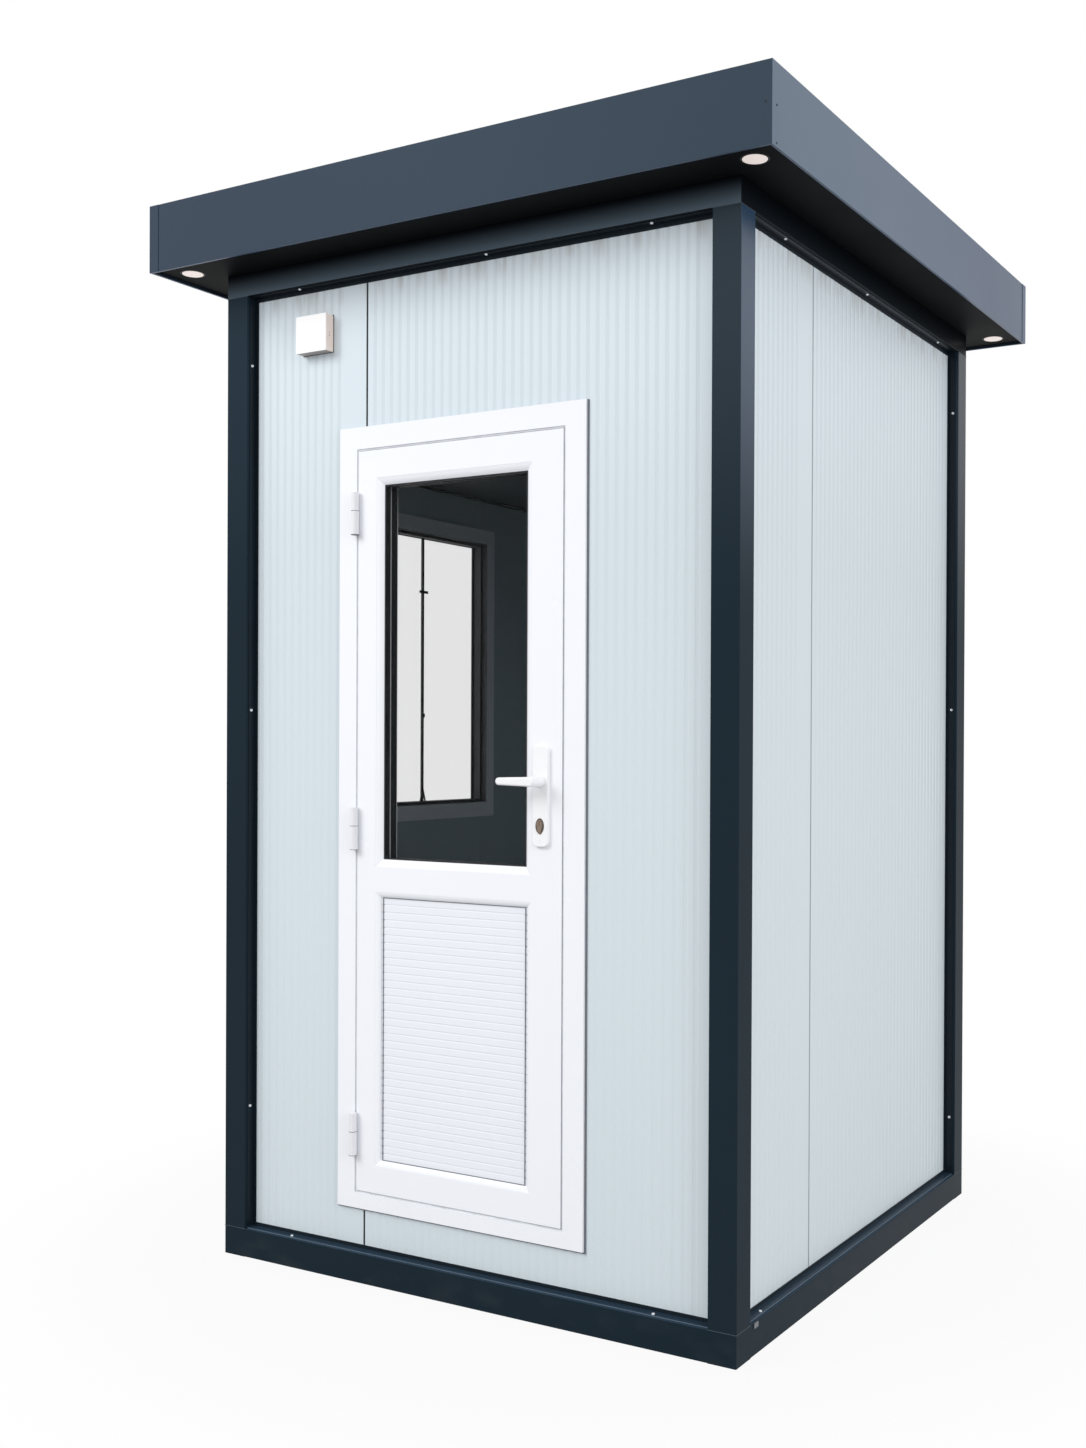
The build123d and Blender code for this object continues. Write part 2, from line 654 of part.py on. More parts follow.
def save_hinges():
    """Three barrel hinges over the gap between the frame and the leaf."""
    x = leaf_edge[0] - LEAF_GAP / 2
    y = door_face - HINGE_BARREL_RADIUS - HINGE_STANDOFF
    up = (Align.CENTER, Align.CENTER, Align.MIN)
    frame_halves = []
    leaf_halves = []
    for height in HINGE_HEIGHTS:
        bottom = height - HINGE_LENGTH / 2
        split = bottom + HINGE_LOWER_SHARE
        upper_bottom = split + HINGE_SPLIT_GAP
        upper_length = HINGE_LENGTH - HINGE_LOWER_SHARE - HINGE_SPLIT_GAP
        lower = Pos(x, y, bottom) * Cylinder(HINGE_BARREL_RADIUS, HINGE_LOWER_SHARE, align=up)
        pin_length = HINGE_LENGTH - HINGE_BARREL_RADIUS
        lower += Pos(x, y, bottom) * Cylinder(HINGE_PIN_RADIUS, pin_length, align=up)
        flag_back = door_face + HINGE_FLAG_DEPTH
        lower += block(leaf_hole[0], leaf_hole[0] + HINGE_FLAG, y, flag_back, bottom, split)
        frame_halves.append(lower)
        upper = Pos(x, y, upper_bottom) * Cylinder(HINGE_UPPER_RADIUS, upper_length, align=up)
        upper += Pos(x, y, upper_bottom) * Cylinder(HINGE_BARREL_RADIUS, HINGE_COLLAR, align=up)
        upper += block(leaf_edge[0] - HINGE_FLAG, leaf_edge[0], y, flag_back, upper_bottom, bottom + HINGE_LENGTH)
        bore = Cylinder(HINGE_PIN_RADIUS + RUNNING_CLEARANCE, pin_length + 1, align=up)
        upper -= Pos(x, y, bottom) * bore
        leaf_halves.append(upper)
    pieces["hinge_frame_halves"] = frame_halves
    pieces["hinge_leaf_halves"] = leaf_halves


def save_window():
    """Fixed window of the left wall: frame with outer flange, inner trim, dark sash with bar, and pane."""
    face = -(panel_face + FLANGE_PROUD)
    back = face + FRAME_DEPTH
    frame_sight = grown(window_flange, -WINDOW_FACE)
    frame = plate(window_flange, face, -panel_face) + plate(window_hole, face, back)
    frame -= plate(frame_sight, face, back)
    trim_back = -inner + WINDOW_TRIM_THICKNESS
    trim = plate(window_flange, -inner, trim_back) - plate(window_hole, -inner, trim_back)
    sash_face = face + WINDOW_SASH_RECESS
    sash_back = sash_face + WINDOW_SASH_DEPTH
    pane_sight = grown(frame_sight, -WINDOW_SASH)
    pane_face = face + WINDOW_PANE_DEPTH
    pane_back = pane_face + WINDOW_PANE_THICKNESS
    sash = plate(frame_sight, sash_face, sash_back) - plate(pane_sight, sash_face, sash_back)
    pane = plate(grown(pane_sight, WINDOW_PANE_GRIP), pane_face, pane_back)
    sash -= pane
    bar_x = WINDOW_BAR_PLACE - WINDOW_BAR / 2
    bar_end = pane_back + WINDOW_BAR_DEPTH
    bar = block(bar_x, bar_x + WINDOW_BAR, pane_back, bar_end, pane_sight[2], pane_sight[3])
    pieces["window_frame"] = turned(frame, LEFT)
    pieces["window_inner_trim"] = turned(trim, LEFT)
    pieces["window_sash"] = turned(sash + bar, LEFT)
    pieces["window_pane"] = turned(pane, LEFT)


def save_lamp():
    """Square wall lamp: housing and front lens."""
    x0 = LAMP_CENTRE - LAMP_WIDTH / 2
    x1 = LAMP_CENTRE + LAMP_WIDTH / 2
    z1 = LAMP_BOTTOM + LAMP_HEIGHT
    front = -panel_face - LAMP_DEPTH
    split = front + LAMP_LENS
    lens = block(x0, x1, front, split, LAMP_BOTTOM, z1)
    pieces["wall_lamp_lens"] = fillet(lens.edges().filter_by(Axis.Y), LAMP_EDGE)
    body = block(x0, x1, split, -panel_face, LAMP_BOTTOM, z1)
    pieces["wall_lamp_body"] = fillet(body.edges().filter_by(Axis.Y), LAMP_EDGE)


def write_all():
    """Write every piece to its own STEP file."""
    os.makedirs("parts", exist_ok=True)
    for name, piece in pieces.items():
        shape = Compound(children=list(piece)) if isinstance(piece, list) else piece
        export_step(shape, "parts/" + name + ".step")


save_base()
save_frame()
save_walls()
save_beads()
save_roof()
save_ceiling()
save_door_frame()
save_door_leaf()
save_furniture()
save_hinges()
save_window()
save_lamp()
write_all()
print(len(pieces), "nodes written")
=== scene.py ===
"""Looks of the security guard booth: finishes, seals, screws, glazing, floor, light and camera.

Metres, +Z up, origin at the middle of the base on the ground. The door wall faces -Y.
"""
import json
import math

import bmesh
import bpy
from mathutils import Matrix, Vector


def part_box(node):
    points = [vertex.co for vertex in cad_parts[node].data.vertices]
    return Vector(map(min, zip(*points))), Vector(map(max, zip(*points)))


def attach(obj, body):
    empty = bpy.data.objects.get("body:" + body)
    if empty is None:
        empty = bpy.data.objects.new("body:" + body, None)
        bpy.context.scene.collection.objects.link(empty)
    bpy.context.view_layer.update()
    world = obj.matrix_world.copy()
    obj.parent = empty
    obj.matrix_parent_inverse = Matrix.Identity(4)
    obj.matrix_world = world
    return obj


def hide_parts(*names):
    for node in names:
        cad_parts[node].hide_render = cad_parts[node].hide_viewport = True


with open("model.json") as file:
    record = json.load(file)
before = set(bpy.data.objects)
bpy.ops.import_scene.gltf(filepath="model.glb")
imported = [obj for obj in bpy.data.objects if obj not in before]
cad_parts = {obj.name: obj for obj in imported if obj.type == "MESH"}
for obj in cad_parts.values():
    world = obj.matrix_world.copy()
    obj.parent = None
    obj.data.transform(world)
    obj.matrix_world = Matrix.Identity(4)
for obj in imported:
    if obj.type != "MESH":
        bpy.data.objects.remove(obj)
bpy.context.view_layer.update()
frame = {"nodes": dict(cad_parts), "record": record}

MM = 0.001

# Camera at the photograph's viewing angle
EYE = Vector((2.2225, -3.6914, 1.3442))
YAW = math.radians(29.714)
PITCH = math.radians(-0.281)
ROLL = math.radians(0.252)
SENSOR = 36.0
PICTURE_HEIGHT = 1448
FOCAL_PIXELS = 1536.58
SHIFT = (-0.07743, 0.01775)

# Colours as linear light
NAVY = (0.0125, 0.0235, 0.034, 1.0)
NAVY_DEEP = (0.0100, 0.0190, 0.028, 1.0)
BAND_NAVY = (0.0110, 0.0245, 0.040, 1.0)
BAND_NAVY_DEEP = (0.0085, 0.0200, 0.034, 1.0)
# Roof band tones painted by place: painted shade at the front's left end, a painted reflection on the right
# face near the corner, painted shade at its far end
BAND_LEFT_SHADE = (0.0005, 0.0090, 0.0245, 1.0)
BAND_NEAR_REFLECTION = (0.0560, 0.0850, 0.1180, 1.0)
BAND_FAR_SHADE = (0.0020, 0.0140, 0.0380, 1.0)
BAND_SHEEN = (0.75, 0.90, 1.0, 1.0)
BAND_BLOOM = (0.45, 0.60, 1.0, 1.0)
POST_HEAD_REFLECTION_BLUE = (0.0115, 0.0250, 0.039, 1.0)
POST_SIDE_REFLECTION_BLUE = (0.020, 0.050, 0.100, 1.0)
BEAM_FOOT_FRONT_LIT = (0.088, 0.120, 0.150, 1.0)
BEAM_FOOT_SIDE_SHADE = (0.0065, 0.0090, 0.0120, 1.0)
BEAM_HEAD_SHADE = (0.0030, 0.0040, 0.0060, 1.0)
SILL_LIT_BLUE = (0.021, 0.040, 0.063, 1.0)
SILL_EDGE_HIGHLIGHT = (0.130, 0.180, 0.235, 1.0)
BEAD_SHADE_BLACK = (0.0055, 0.0095, 0.0140, 1.0)
SOFFIT_SHADE_BLACK = (0.006, 0.007, 0.008, 1.0)
JOINT_LINE = (0.050, 0.066, 0.084, 1.0)
ROAD_DUST = (0.22, 0.20, 0.17, 1.0)
SKIN_GREY = (0.640, 0.715, 0.760, 1.0)
SKIN_SHADE = (0.610, 0.685, 0.730, 1.0)
SKIN_HEAD_LIGHT = (0.685, 0.768, 0.825, 1.0)
SKIN_UNDER_HEAD_SHADE = (0.42, 0.40, 0.37, 1.0)
VALLEY_SHADE = (0.30, 0.33, 0.37, 1.0)
LINING_SHADE_GREY = (0.38, 0.46, 0.50, 1.0)
CEILING_SHADE_GREY = (0.060, 0.072, 0.084, 1.0)
PVC_WHITE = (0.875, 0.890, 0.935, 1.0)
PVC_SHADE = (0.850, 0.868, 0.915, 1.0)
INFILL_WHITE = (0.815, 0.835, 0.890, 1.0)
ENAMEL_WHITE = (0.87, 0.88, 0.90, 1.0)
RUBBER_BLACK = (0.010, 0.011, 0.013, 1.0)
RUBBER_GREY = (0.13, 0.14, 0.16, 1.0)
SEAL_GREY = (0.52, 0.54, 0.57, 1.0)
JOINT_GREY = (0.22, 0.24, 0.26, 1.0)
HINGE_SHADED_WHITE = (0.78, 0.79, 0.82, 1.0)
HINGE_SHADE = (0.14, 0.15, 0.17, 1.0)
LENS_WHITE = (0.90, 0.90, 0.91, 1.0)
LENS_WARM = (0.80, 0.70, 0.66, 1.0)
HOUSING_CREAM = (0.88, 0.75, 0.68, 1.0)
HOUSING_SHADE = (0.36, 0.32, 0.30, 1.0)
BRONZE = (0.42, 0.33, 0.26, 1.0)
ROSE_DARK = (0.075, 0.058, 0.048, 1.0)
BRONZE_DARK = (0.11, 0.075, 0.055, 1.0)
ZINC = (0.82, 0.86, 0.90, 1.0)
TAB_GREY = (0.17, 0.185, 0.195, 1.0)
VINYL_GREY = (0.20, 0.21, 0.22, 1.0)
VINYL_FLECK = (0.29, 0.30, 0.31, 1.0)
GLASS_BODY = (0.004, 0.007, 0.008, 1.0)
FLOOR_GREY = (0.40, 0.40, 0.40, 1.0)

# Smallest step by which a coat tells two faces apart
HAIR = 0.1 * MM

# How far under an outer face the tone of that face sets in, and where it is full
FACE_MARGIN = (6 * HAIR, HAIR)

# The posts' coat is glossier towards the head, to the right and most of all on the near corner's right face;
# the same stretches lay a bluer painted reflection on its colour near the head, strongest on that face
GLOSS_RISE = (1.60, 2.35)
GLOSS_TURN = (-0.70, 0.70)
POST_FACE = 0.750

# Clear coat of the posts: everywhere, more near the head, more to the right, and most on that face
POST_GLOSS = (0.05, 0.12, 0.32, 0.40)

# Height over which the top beams darken towards the soffit as painted shade, and height of the dust on the
# base
BEAM_SHADE_FADE = 60 * MM
ROAD_DUST_REACH = 0.10

# Stretches along which the roof band's painted light changes: painted shade deepens the front towards its
# left end, and a painted reflection makes the right face pale near the corner and darker towards its far end
BAND_SHADE_TURN = (-0.95, 0.25)
BAND_REFLECTION_RUN = (-0.85, 0.95)

# Painted shade in the rib valleys of the wall panels, strongest near the head: heights, shades and the depth
# of a valley
RIB_RISE = (1.05, 2.45)
RIB_SHADE = (0.020, 0.155)
RIB_VALLEY = (0.08 * MM, 0.5 * MM)

# The panels are paler near the head as painted light, with brownish streaks of painted shade just under it
HEAD_LIGHT_RISE = (1.75, 2.45)
HEAD_SHADE_REACH = 0.07

# Paint in the grooves of the door's infill, in millimetres to the metre of depth
GROOVE_FILL = 480.0

# Reach of the walls' middle, their outer skin and the beads' feet, and height of the sills
WALL_MIDDLE = 0.700
WALL_FACE = 0.720
BEAD_FOOT_EDGE = 0.7412
SILL_LEVEL = 0.0722
SILL_REACH = 0.0765

# Screws that hold the panel beads, as places along each wall seen from outside
SCREW_RADIUS = 4.0 * MM
SCREW_HEIGHT = 2.2 * MM
BEAD_SHEET = 1.5 * MM
BEAD_SCREW_DEPTH = 14 * MM
SILL_SCREWS = ((-0.531, 0.536), (-0.598,), (-0.531, 0.536), (-0.531, 0.536))
HEAD_SCREWS = (
    (-0.515, 0.069, 0.520),
    (-0.493, 0.004, 0.543),
    (-0.505, 0.045, 0.531),
    (-0.505, 0.045, 0.531),
)
LEFT_POST_SCREWS = (0.391, 1.423, 2.319)
RIGHT_POST_SCREWS = (0.241, 1.443, 2.317)

# Form of every screw head: sides, and shares of its radius and height
SCREW_SIDES = 12
SCREW_CROWN = 0.78
RECESS_RIM = 0.38
RECESS_DEPTH = 0.35

# Rivets of the fascia, each with its wall, place along it and height
RIVET_RADIUS = 2.6 * MM
RIVET_HEIGHT = 0.9 * MM
FASCIA_RIVETS = (
    (0, 0.872, 2.638),
    (1, -0.866, 2.635),
    (1, -0.866, 2.558),
    (2, 0.872, 2.638),
    (3, -0.866, 2.635),
)

# Joint lines at the posts' feet and heads
LINE_HEIGHT = 1.2 * MM
LINE_PROUD = 0.4 * MM

# Hinge barrels: dark seams under the foot, as painted shade, and at the split, so far above the foot
HINGE_RADIUS = 10.15 * MM
HINGE_AXIS_IN = 10 * MM
HINGE_FEET = (0.312, 1.074, 1.858)
HINGE_SPLIT = 58.3 * MM
HINGE_SEAM = 1.4 * MM
HINGE_SIDES = 24

# Seals of the walls
JOINT_STRIP = 5.6 * MM
JOINT_STRIP_SINK = 1.0 * MM
JOINT_STRIP_DEPTH = 8 * MM
LEFT_JOINT = -0.275
# Dark bead beside the flanges: a seal, and the painted shadow of the flange on the wall
WALL_SEAL = 4.5 * MM
WALL_SEAL_PROUD = 2.0 * MM
RIB_DEPTH = 0.6 * MM

# Glazing
SHEET_THICKNESS = 4 * MM
SPACER_WIDTH = 7 * MM
SPACER_SEAL = 3.5 * MM
SEAL_WIDTH = 4 * MM
SEAL_PROUD = 1.5 * MM
SEAL_TUCK = 0.5 * MM
REBATE_GRIP = 14 * MM
INFILL_SEAL_WIDTH = 2.0 * MM
# Black ring round the glass's sight on the inside, as painted shade in the rebate
REVEAL_SHADE_LINING = 1.2 * MM
REVEAL_SHADE_DEPTH = 21 * MM
LEAF_GAP = 6 * MM
LEAF_SEAL_WIDTH = 4.3 * MM
LEAF_SEAL_SINK = 2.5 * MM
LEAF_LIP = 16 * MM

# Catches on the window's bar
BAR_DEPTH = 6 * MM
SASH_WIDTH = 10 * MM
CATCH_THICKNESS = 3 * MM
UPPER_CATCH = (-0.012, 0.028, 1.792, 1.800)
LOWER_CATCH = (0.002, 0.014, 1.416, 1.428)
FORK_TOP = 1.199
FORK_FEET = (-0.001, 0.022)
FORK_WIDTH = 4 * MM
CATCH_EDGE = 0.6 * MM

# Oval rose of the lock, as width, height and thickness, its plug, and the plate's screws
ROSE_RIM = (23 * MM, 36 * MM, 1.6 * MM)
ROSE_CENTRE = (15 * MM, 28 * MM, 2.4 * MM)
ROSE_LIFT = 2 * MM
ROSE_SIDES = 36
ROSE_CROWN = 0.96
PLUG_RADIUS = 6.5 * MM
PLUG_PROUD = 0.6 * MM
KEYWAY = (1.6 * MM, 8.5 * MM)
PLATE_SCREW_RADIUS = 3.2 * MM
PLATE_SCREW_HEIGHT = 0.5 * MM
PLATE_SCREW_INSET = 15 * MM

# Gasket of the wall lamp, dark as the painted shadow of the gap at the wall, two small screws of the wall
# lamp, and the tab on the base
GASKET_PROUD = 0.9 * MM
GASKET_DEPTH = 1.6 * MM
LAMP_SCREW_RADIUS = 1.3 * MM
LAMP_SCREW_HEIGHT = 0.3 * MM
LAMP_SCREW_LEVELS = (0.0395, 0.0470)
LAMP_SCREW_DEPTH = 15.2 * MM
TAB_PLACE = (-0.664, -0.644)
TAB_HEIGHT = 12 * MM
TAB_THICKNESS = 2 * MM
TAB_LIFT = 60 * MM
TAB_EDGE = 0.7 * MM

# Lamps' glow, and the share of light that each face of a glass sheet keeps back
DOWNLIGHT_GLOW = 0.55
WALL_LAMP_GLOW = 0.06
DOOR_GLASS_COVER = 0.04
WINDOW_GLASS_COVER = 0.055

# Studio: the floor's reach, the distances over which it fades, its whiteness near the booth, and the world
FLOOR_REACH = 40.0
FLOOR_FADE = (1.05, 1.90)
FLOOR_WHITENESS = 0.93
WORLD_LIGHT = 0.90

# Lamps as name, place, target, size and power
KEY_LIGHT = ("key_light", (-3.6, -5.2, 5.2), (0.0, 0.0, 1.3), 3.2, 230.0)
RIGHT_LIGHT = ("right_light", (6.0, -2.4, 2.5), (0.7, 0.0, 1.4), 3.0, 114.0)


class Reading:
    """A node's output that takes part in sums."""

    def __init__(self, finish, socket):
        self.finish = finish
        self.socket = socket

    def worked(self, operation, first, second):
        """The output of one sum node."""
        return self.finish.node("ShaderNodeMath", {"operation": operation}, {0: first, 1: second})

    def __add__(self, other):
        return self.worked("ADD", self, other)

    __radd__ = __add__

    def __sub__(self, other):
        return self.worked("SUBTRACT", self, other)

    def __rsub__(self, other):
        return self.worked("SUBTRACT", other, self)

    def __mul__(self, other):
        return self.worked("MULTIPLY", self, other)

    __rmul__ = __mul__

    def __abs__(self):
        return self.worked("ABSOLUTE", self, 0.0)

    def most(self, other):
        return self.worked("MAXIMUM", self, other)

    def under(self, limit):
        return self.worked("LESS_THAN", self, limit)


class Finish:
    """A material with one shader, and the nodes that vary it."""

    def __init__(self, name, colour, roughness, metallic=0.0):
        self.material = bpy.data.materials.new(name)
        self.material.use_nodes = True
        self.tree = self.material.node_tree
        self.shader = self.tree.nodes["Principled BSDF"]
        self.set("Base Color", colour)
        self.set("Roughness", roughness)
        self.set("Metallic", metallic)

    def set(self, socket, value):
        """Give the shader's socket a constant or a node's output."""
        self.feed(self.shader.inputs[socket], value)

    def feed(self, socket, value):
        """Give any socket a constant or a node's output."""
        if isinstance(value, Reading):
            self.tree.links.new(value.socket, socket)
        else:
            socket.default_value = value

    def node(self, kind, settings=None, sockets=None, output=0):
        """Add a node: its settings first, then the values or links of its sockets."""
        made = self.tree.nodes.new(kind)
        for name, value in (settings or {}).items():
            setattr(made, name, value)
        for key, value in (sockets or {}).items():
            self.feed(made.inputs[key], value)
        return Reading(self, made.outputs[output])

    def place(self, stretch=(1.0, 1.0, 1.0)):
        """Object coordinates, stretched along the axes."""
        spot = self.node("ShaderNodeTexCoord", output="Object")
        return self.node("ShaderNodeMapping", {}, {"Vector": spot, "Scale": stretch})

    def axes(self):
        """The three object coordinates."""
        spot = self.node("ShaderNodeTexCoord", output="Object")
        return [self.node("ShaderNodeSeparateXYZ", {}, {0: spot}, output=axis) for axis in "XYZ"]

    def noise(self, scale, detail=2.0, stretch=(1.0, 1.0, 1.0)):
        """Soft random pattern between 0 and 1, with so many blotches to the metre."""
        sockets = {"Vector": self.place(stretch), "Scale": scale, "Detail": detail}
        return self.node("ShaderNodeTexNoise", {}, sockets)

    def between(self, value, low, high):
        """0 below low, 1 above high and smooth between."""
        settings = {"interpolation_type": "SMOOTHSTEP"}
        sockets = {"Value": value, "From Min": low, "From Max": high}
        return self.node("ShaderNodeMapRange", settings, sockets)

    def mix(self, share, first, second):
        """Blend of two colours."""
        settings = {"data_type": "RGBA"}
        return self.node("ShaderNodeMix", settings, {0: share, 6: first, 7: second}, output=2)

    def facing(self, reach, face):
        """1 on the flat outer face that lies at that reach, and 0 further in."""
        far, close = FACE_MARGIN
        return self.between(reach, face - far, face - close)

    def relief(self, height, depth):
        """Raise the surface by a height pattern of that depth in metres."""
        sockets = {"Height": height, "Distance": depth}
        self.set("Normal", self.node("ShaderNodeBump", {}, sockets))


class Surroundings(Finish):
    """The world's own nodes."""

    def __init__(self, world):
        self.tree = world.node_tree


def powder_coat(name, colour, deep, ior):
    """Dark blue-grey powder coat with fine orange peel: its finish, and its slowly changing tone."""
    coat = Finish(name, colour, 0.34)
    tone = coat.mix(coat.noise(1.3, 3.0), deep, colour)
    coat.set("Roughness", 0.29 + 0.10 * coat.noise(3.0))
    coat.relief(coat.noise(420.0) * 0.05 + coat.noise(3.2, 1.0), 0.9 * MM)
    coat.set("IOR", ior)
    return coat, tone


def band_coat():
    """Coat of the roof band: glossier and bluer than the frame's, with painted shade deepening the front at
    its left end and a painted reflection making the right face pale near the corner.
    """
    coat, tone = powder_coat("band_coat", BAND_NAVY, BAND_NAVY_DEEP, 1.5)
    x, y, _ = coat.axes()
    # Painted shade: the front face's colour deepens towards its left end
    front = coat.mix(coat.between(x, *BAND_SHADE_TURN), BAND_LEFT_SHADE, tone)
    # Painted reflection: the right face is pale near the corner and darker towards its far end
    side = coat.mix(coat.between(y, *BAND_REFLECTION_RUN), BAND_NEAR_REFLECTION, BAND_FAR_SHADE)
    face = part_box("fascia_right")[1].x
    colour = coat.mix(coat.facing(0.0 - y, face), tone, front)
    coat.set("Base Color", coat.mix(coat.facing(x, face), colour, side))
    coat.set("Specular Tint", BAND_SHEEN)
    coat.set("Sheen Weight", 0.35)
    coat.set("Sheen Roughness", 0.5)
    coat.set("Sheen Tint", BAND_BLOOM)
    return coat.material


def post_coat():
    """Coat of the posts: rubbed dull below and glossier near the head, where a bluer painted reflection lies
    on its colour, strongest on the near corner's right face.
    """
    coat, tone = powder_coat("post_coat", NAVY, NAVY_DEEP, 1.08)
    x, y, z = coat.axes()
    rise = coat.between(z, *GLOSS_RISE)
    turn = coat.between(x, *GLOSS_TURN)
    right = coat.between(0.0 - y, *GLOSS_TURN) * coat.facing(x, POST_FACE)
    # Painted reflection: bluer colour near the head, bluest on the near corner's right face
    head = coat.mix(right, POST_HEAD_REFLECTION_BLUE, POST_SIDE_REFLECTION_BLUE)
    coat.set("Base Color", coat.mix(rise, tone, head))
    plain, high, turned, most = POST_GLOSS
    coat.set("Coat Weight", plain + rise * (high + turned * turn + most * right))
    coat.set("Coat Roughness", 0.25)
    return coat.material


def base_coat():
    """Dull coat of rails and beams: a trace of road dust at the foot, painted light on the rails' top at the
    sill, and beams with painted shade darkening them upwards, their front foot painted lighter than the other
    sides.
    """
    coat, tone = powder_coat("base_coat", NAVY, NAVY_DEEP, 1.10)
    _, y, height = coat.axes()
    # Painted light: the rails' upward face at the sill is paler blue
    lit_ledge = coat.between(height, SILL_LEVEL, SILL_LEVEL + HAIR) * height.under(SILL_REACH)
    rail = coat.mix(lit_ledge, tone, SILL_LIT_BLUE)
    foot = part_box("top_beams")[0].z
    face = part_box("top_beams")[1].x
    # Painted light and shade: the front beam's foot is lighter than the other sides' feet, and all darken
    # towards the soffit
    beam_foot_light_and_shade = coat.mix(coat.facing(0.0 - y, face), BEAM_FOOT_SIDE_SHADE, BEAM_FOOT_FRONT_LIT)
    beam_painted_shade = coat.mix(coat.between(height, foot, foot + BEAM_SHADE_FADE), beam_foot_light_and_shade, BEAM_HEAD_SHADE)
    clean = coat.mix(height.under(foot), beam_painted_shade, rail)
    blotch = coat.between(coat.noise(9.0, 4.0, (1.0, 1.0, 2.0)), 0.50, 0.75)
    dust = 0.05 * blotch * coat.between(ROAD_DUST_REACH - height, 0.0, ROAD_DUST_REACH)
    coat.set("Base Color", coat.mix(dust, clean, ROAD_DUST))
    return coat.material


def bead_coat():
    """Coat of the thin panel beads: nearly black as painted shade, with painted light on the sills and a
    painted highlight along their edges.
    """
    coat, _ = powder_coat("bead_coat", BEAD_SHADE_BLACK, BEAD_SHADE_BLACK, 1.25)
    x, y, z = coat.axes()
    # Painted shade makes the beads nearly black; painted light makes the sills paler, with a painted
    # highlight on their outer edge
    lit_sill = z.under(SILL_REACH)
    edge_highlight = lit_sill * coat.between(abs(x).most(abs(y)), BEAD_FOOT_EDGE, BEAD_FOOT_EDGE + 2 * HAIR)
    colour = coat.mix(lit_sill, coat.mix(coat.noise(2.0, 3.0), BEAD_SHADE_BLACK, NAVY_DEEP), SILL_LIT_BLUE)
    coat.set("Base Color", coat.mix(edge_highlight, colour, SILL_EDGE_HIGHLIGHT))
    return coat.material


def soffit_coat():
    """Nearly black lining under the roof's overhang: a dark coat, darkened further as painted shade."""
    coat = Finish("soffit_coat", SOFFIT_SHADE_BLACK, 0.6)
    coat.set("Roughness", 0.5 + 0.2 * coat.noise(4.0, 3.0))
    coat.relief(coat.noise(300.0), 0.05 * MM)
    coat.set("IOR", 1.12)
    return coat.material


def panel_skin(name, head=None):
    """Pale coated sheet. A wall's has painted shade in its rib valleys that shows most near the head, painted
    light that makes it paler near the head, brownish streaks of painted shade just under the head, and a
    darker inner side as painted shade inside the booth.
    """
    skin = Finish(name, SKIN_GREY, 0.42)
    x, y, z = skin.axes()
    colour = skin.mix(skin.noise(1.1, 2.0, (1.0, 1.0, 0.35)), SKIN_SHADE, SKIN_GREY)
    if head:
        # Painted light: paler near the head
        colour = skin.mix(skin.between(z, *HEAD_LIGHT_RISE), colour, SKIN_HEAD_LIGHT)
        # Painted shade: brownish streaks just under the head
        streak = skin.noise(38.0, 3.0, (1.0, 1.0, 0.12))
        dust = skin.between(z, head - HEAD_SHADE_REACH, head) * skin.between(streak, 0.45, 0.65)
        colour = skin.mix(0.5 * dust, colour, SKIN_UNDER_HEAD_SHADE)
        # Painted shade in the rib valleys, strongest near the head
        out = abs(x).most(abs(y))
        valley = skin.between(WALL_FACE - out, *RIB_VALLEY)
        faint, strong = RIB_SHADE
        shade = valley * (faint + (strong - faint) * skin.between(z, *RIB_RISE))
        colour = skin.mix(shade, colour, VALLEY_SHADE)
        # Painted shade: the inner side is darker grey than the outer skin
        colour = skin.mix(out.under(WALL_MIDDLE), colour, LINING_SHADE_GREY)
    skin.set("Base Color", colour)
    skin.set("Roughness", 0.38 + 0.10 * skin.noise(6.0))
    skin.relief(skin.noise(700.0) * 0.08 + skin.noise(5.0, 1.0), 0.5 * MM)
    return skin.material


def ceiling_skin():
    """Grey coated sheet of the ceiling, darkened as painted shade inside the booth."""
    skin = Finish("ceiling_skin", CEILING_SHADE_GREY, 0.45)
    skin.set("Roughness", 0.40 + 0.10 * skin.noise(6.0))
    skin.relief(skin.noise(700.0) * 0.08 + skin.noise(5.0, 1.0), 0.4 * MM)
    return skin.material


def window_plastic():
    """White glossy plastic of the door and window profiles."""
    plastic = Finish("white_window_plastic", PVC_WHITE, 0.24)
    plastic.set("Base Color", plastic.mix(plastic.noise(4.0, 2.0), PVC_SHADE, PVC_WHITE))
    plastic.set("Roughness", 0.20 + 0.10 * plastic.noise(9.0, 2.0))
    plastic.relief(plastic.noise(14.0, 2.0), 0.12 * MM)
    return plastic.material


def infill_coat():
    """White face of the door's ribbed infill, its grooves softened by the paint."""
    coat = Finish("infill_white", INFILL_WHITE, 0.28)
    sunk = coat.axes()[1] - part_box("door_infill")[0].y
    coat.set("Roughness", 0.28 + 0.12 * coat.noise(70.0))
    coat.relief(sunk * GROOVE_FILL + coat.noise(500.0) * 0.03, 1.0 * MM)
    return coat.material


def enamel():
    """White stove enamel of the door handles."""
    coat = Finish("white_enamel", ENAMEL_WHITE, 0.22)
    coat.set("Roughness", 0.18 + 0.10 * coat.noise(60.0, 2.0))
    coat.set("Coat Weight", 0.3)
    coat.relief(coat.noise(500.0, 2.0), 0.03 * MM)
    return coat.material


def flat_coat(name, colour, roughness):
    """Plain painted finish of a small part."""
    coat = Finish(name, colour, roughness)
    coat.set("Roughness", roughness + 0.12 * coat.noise(70.0))
    coat.relief(coat.noise(500.0), 0.03 * MM)
    return coat.material


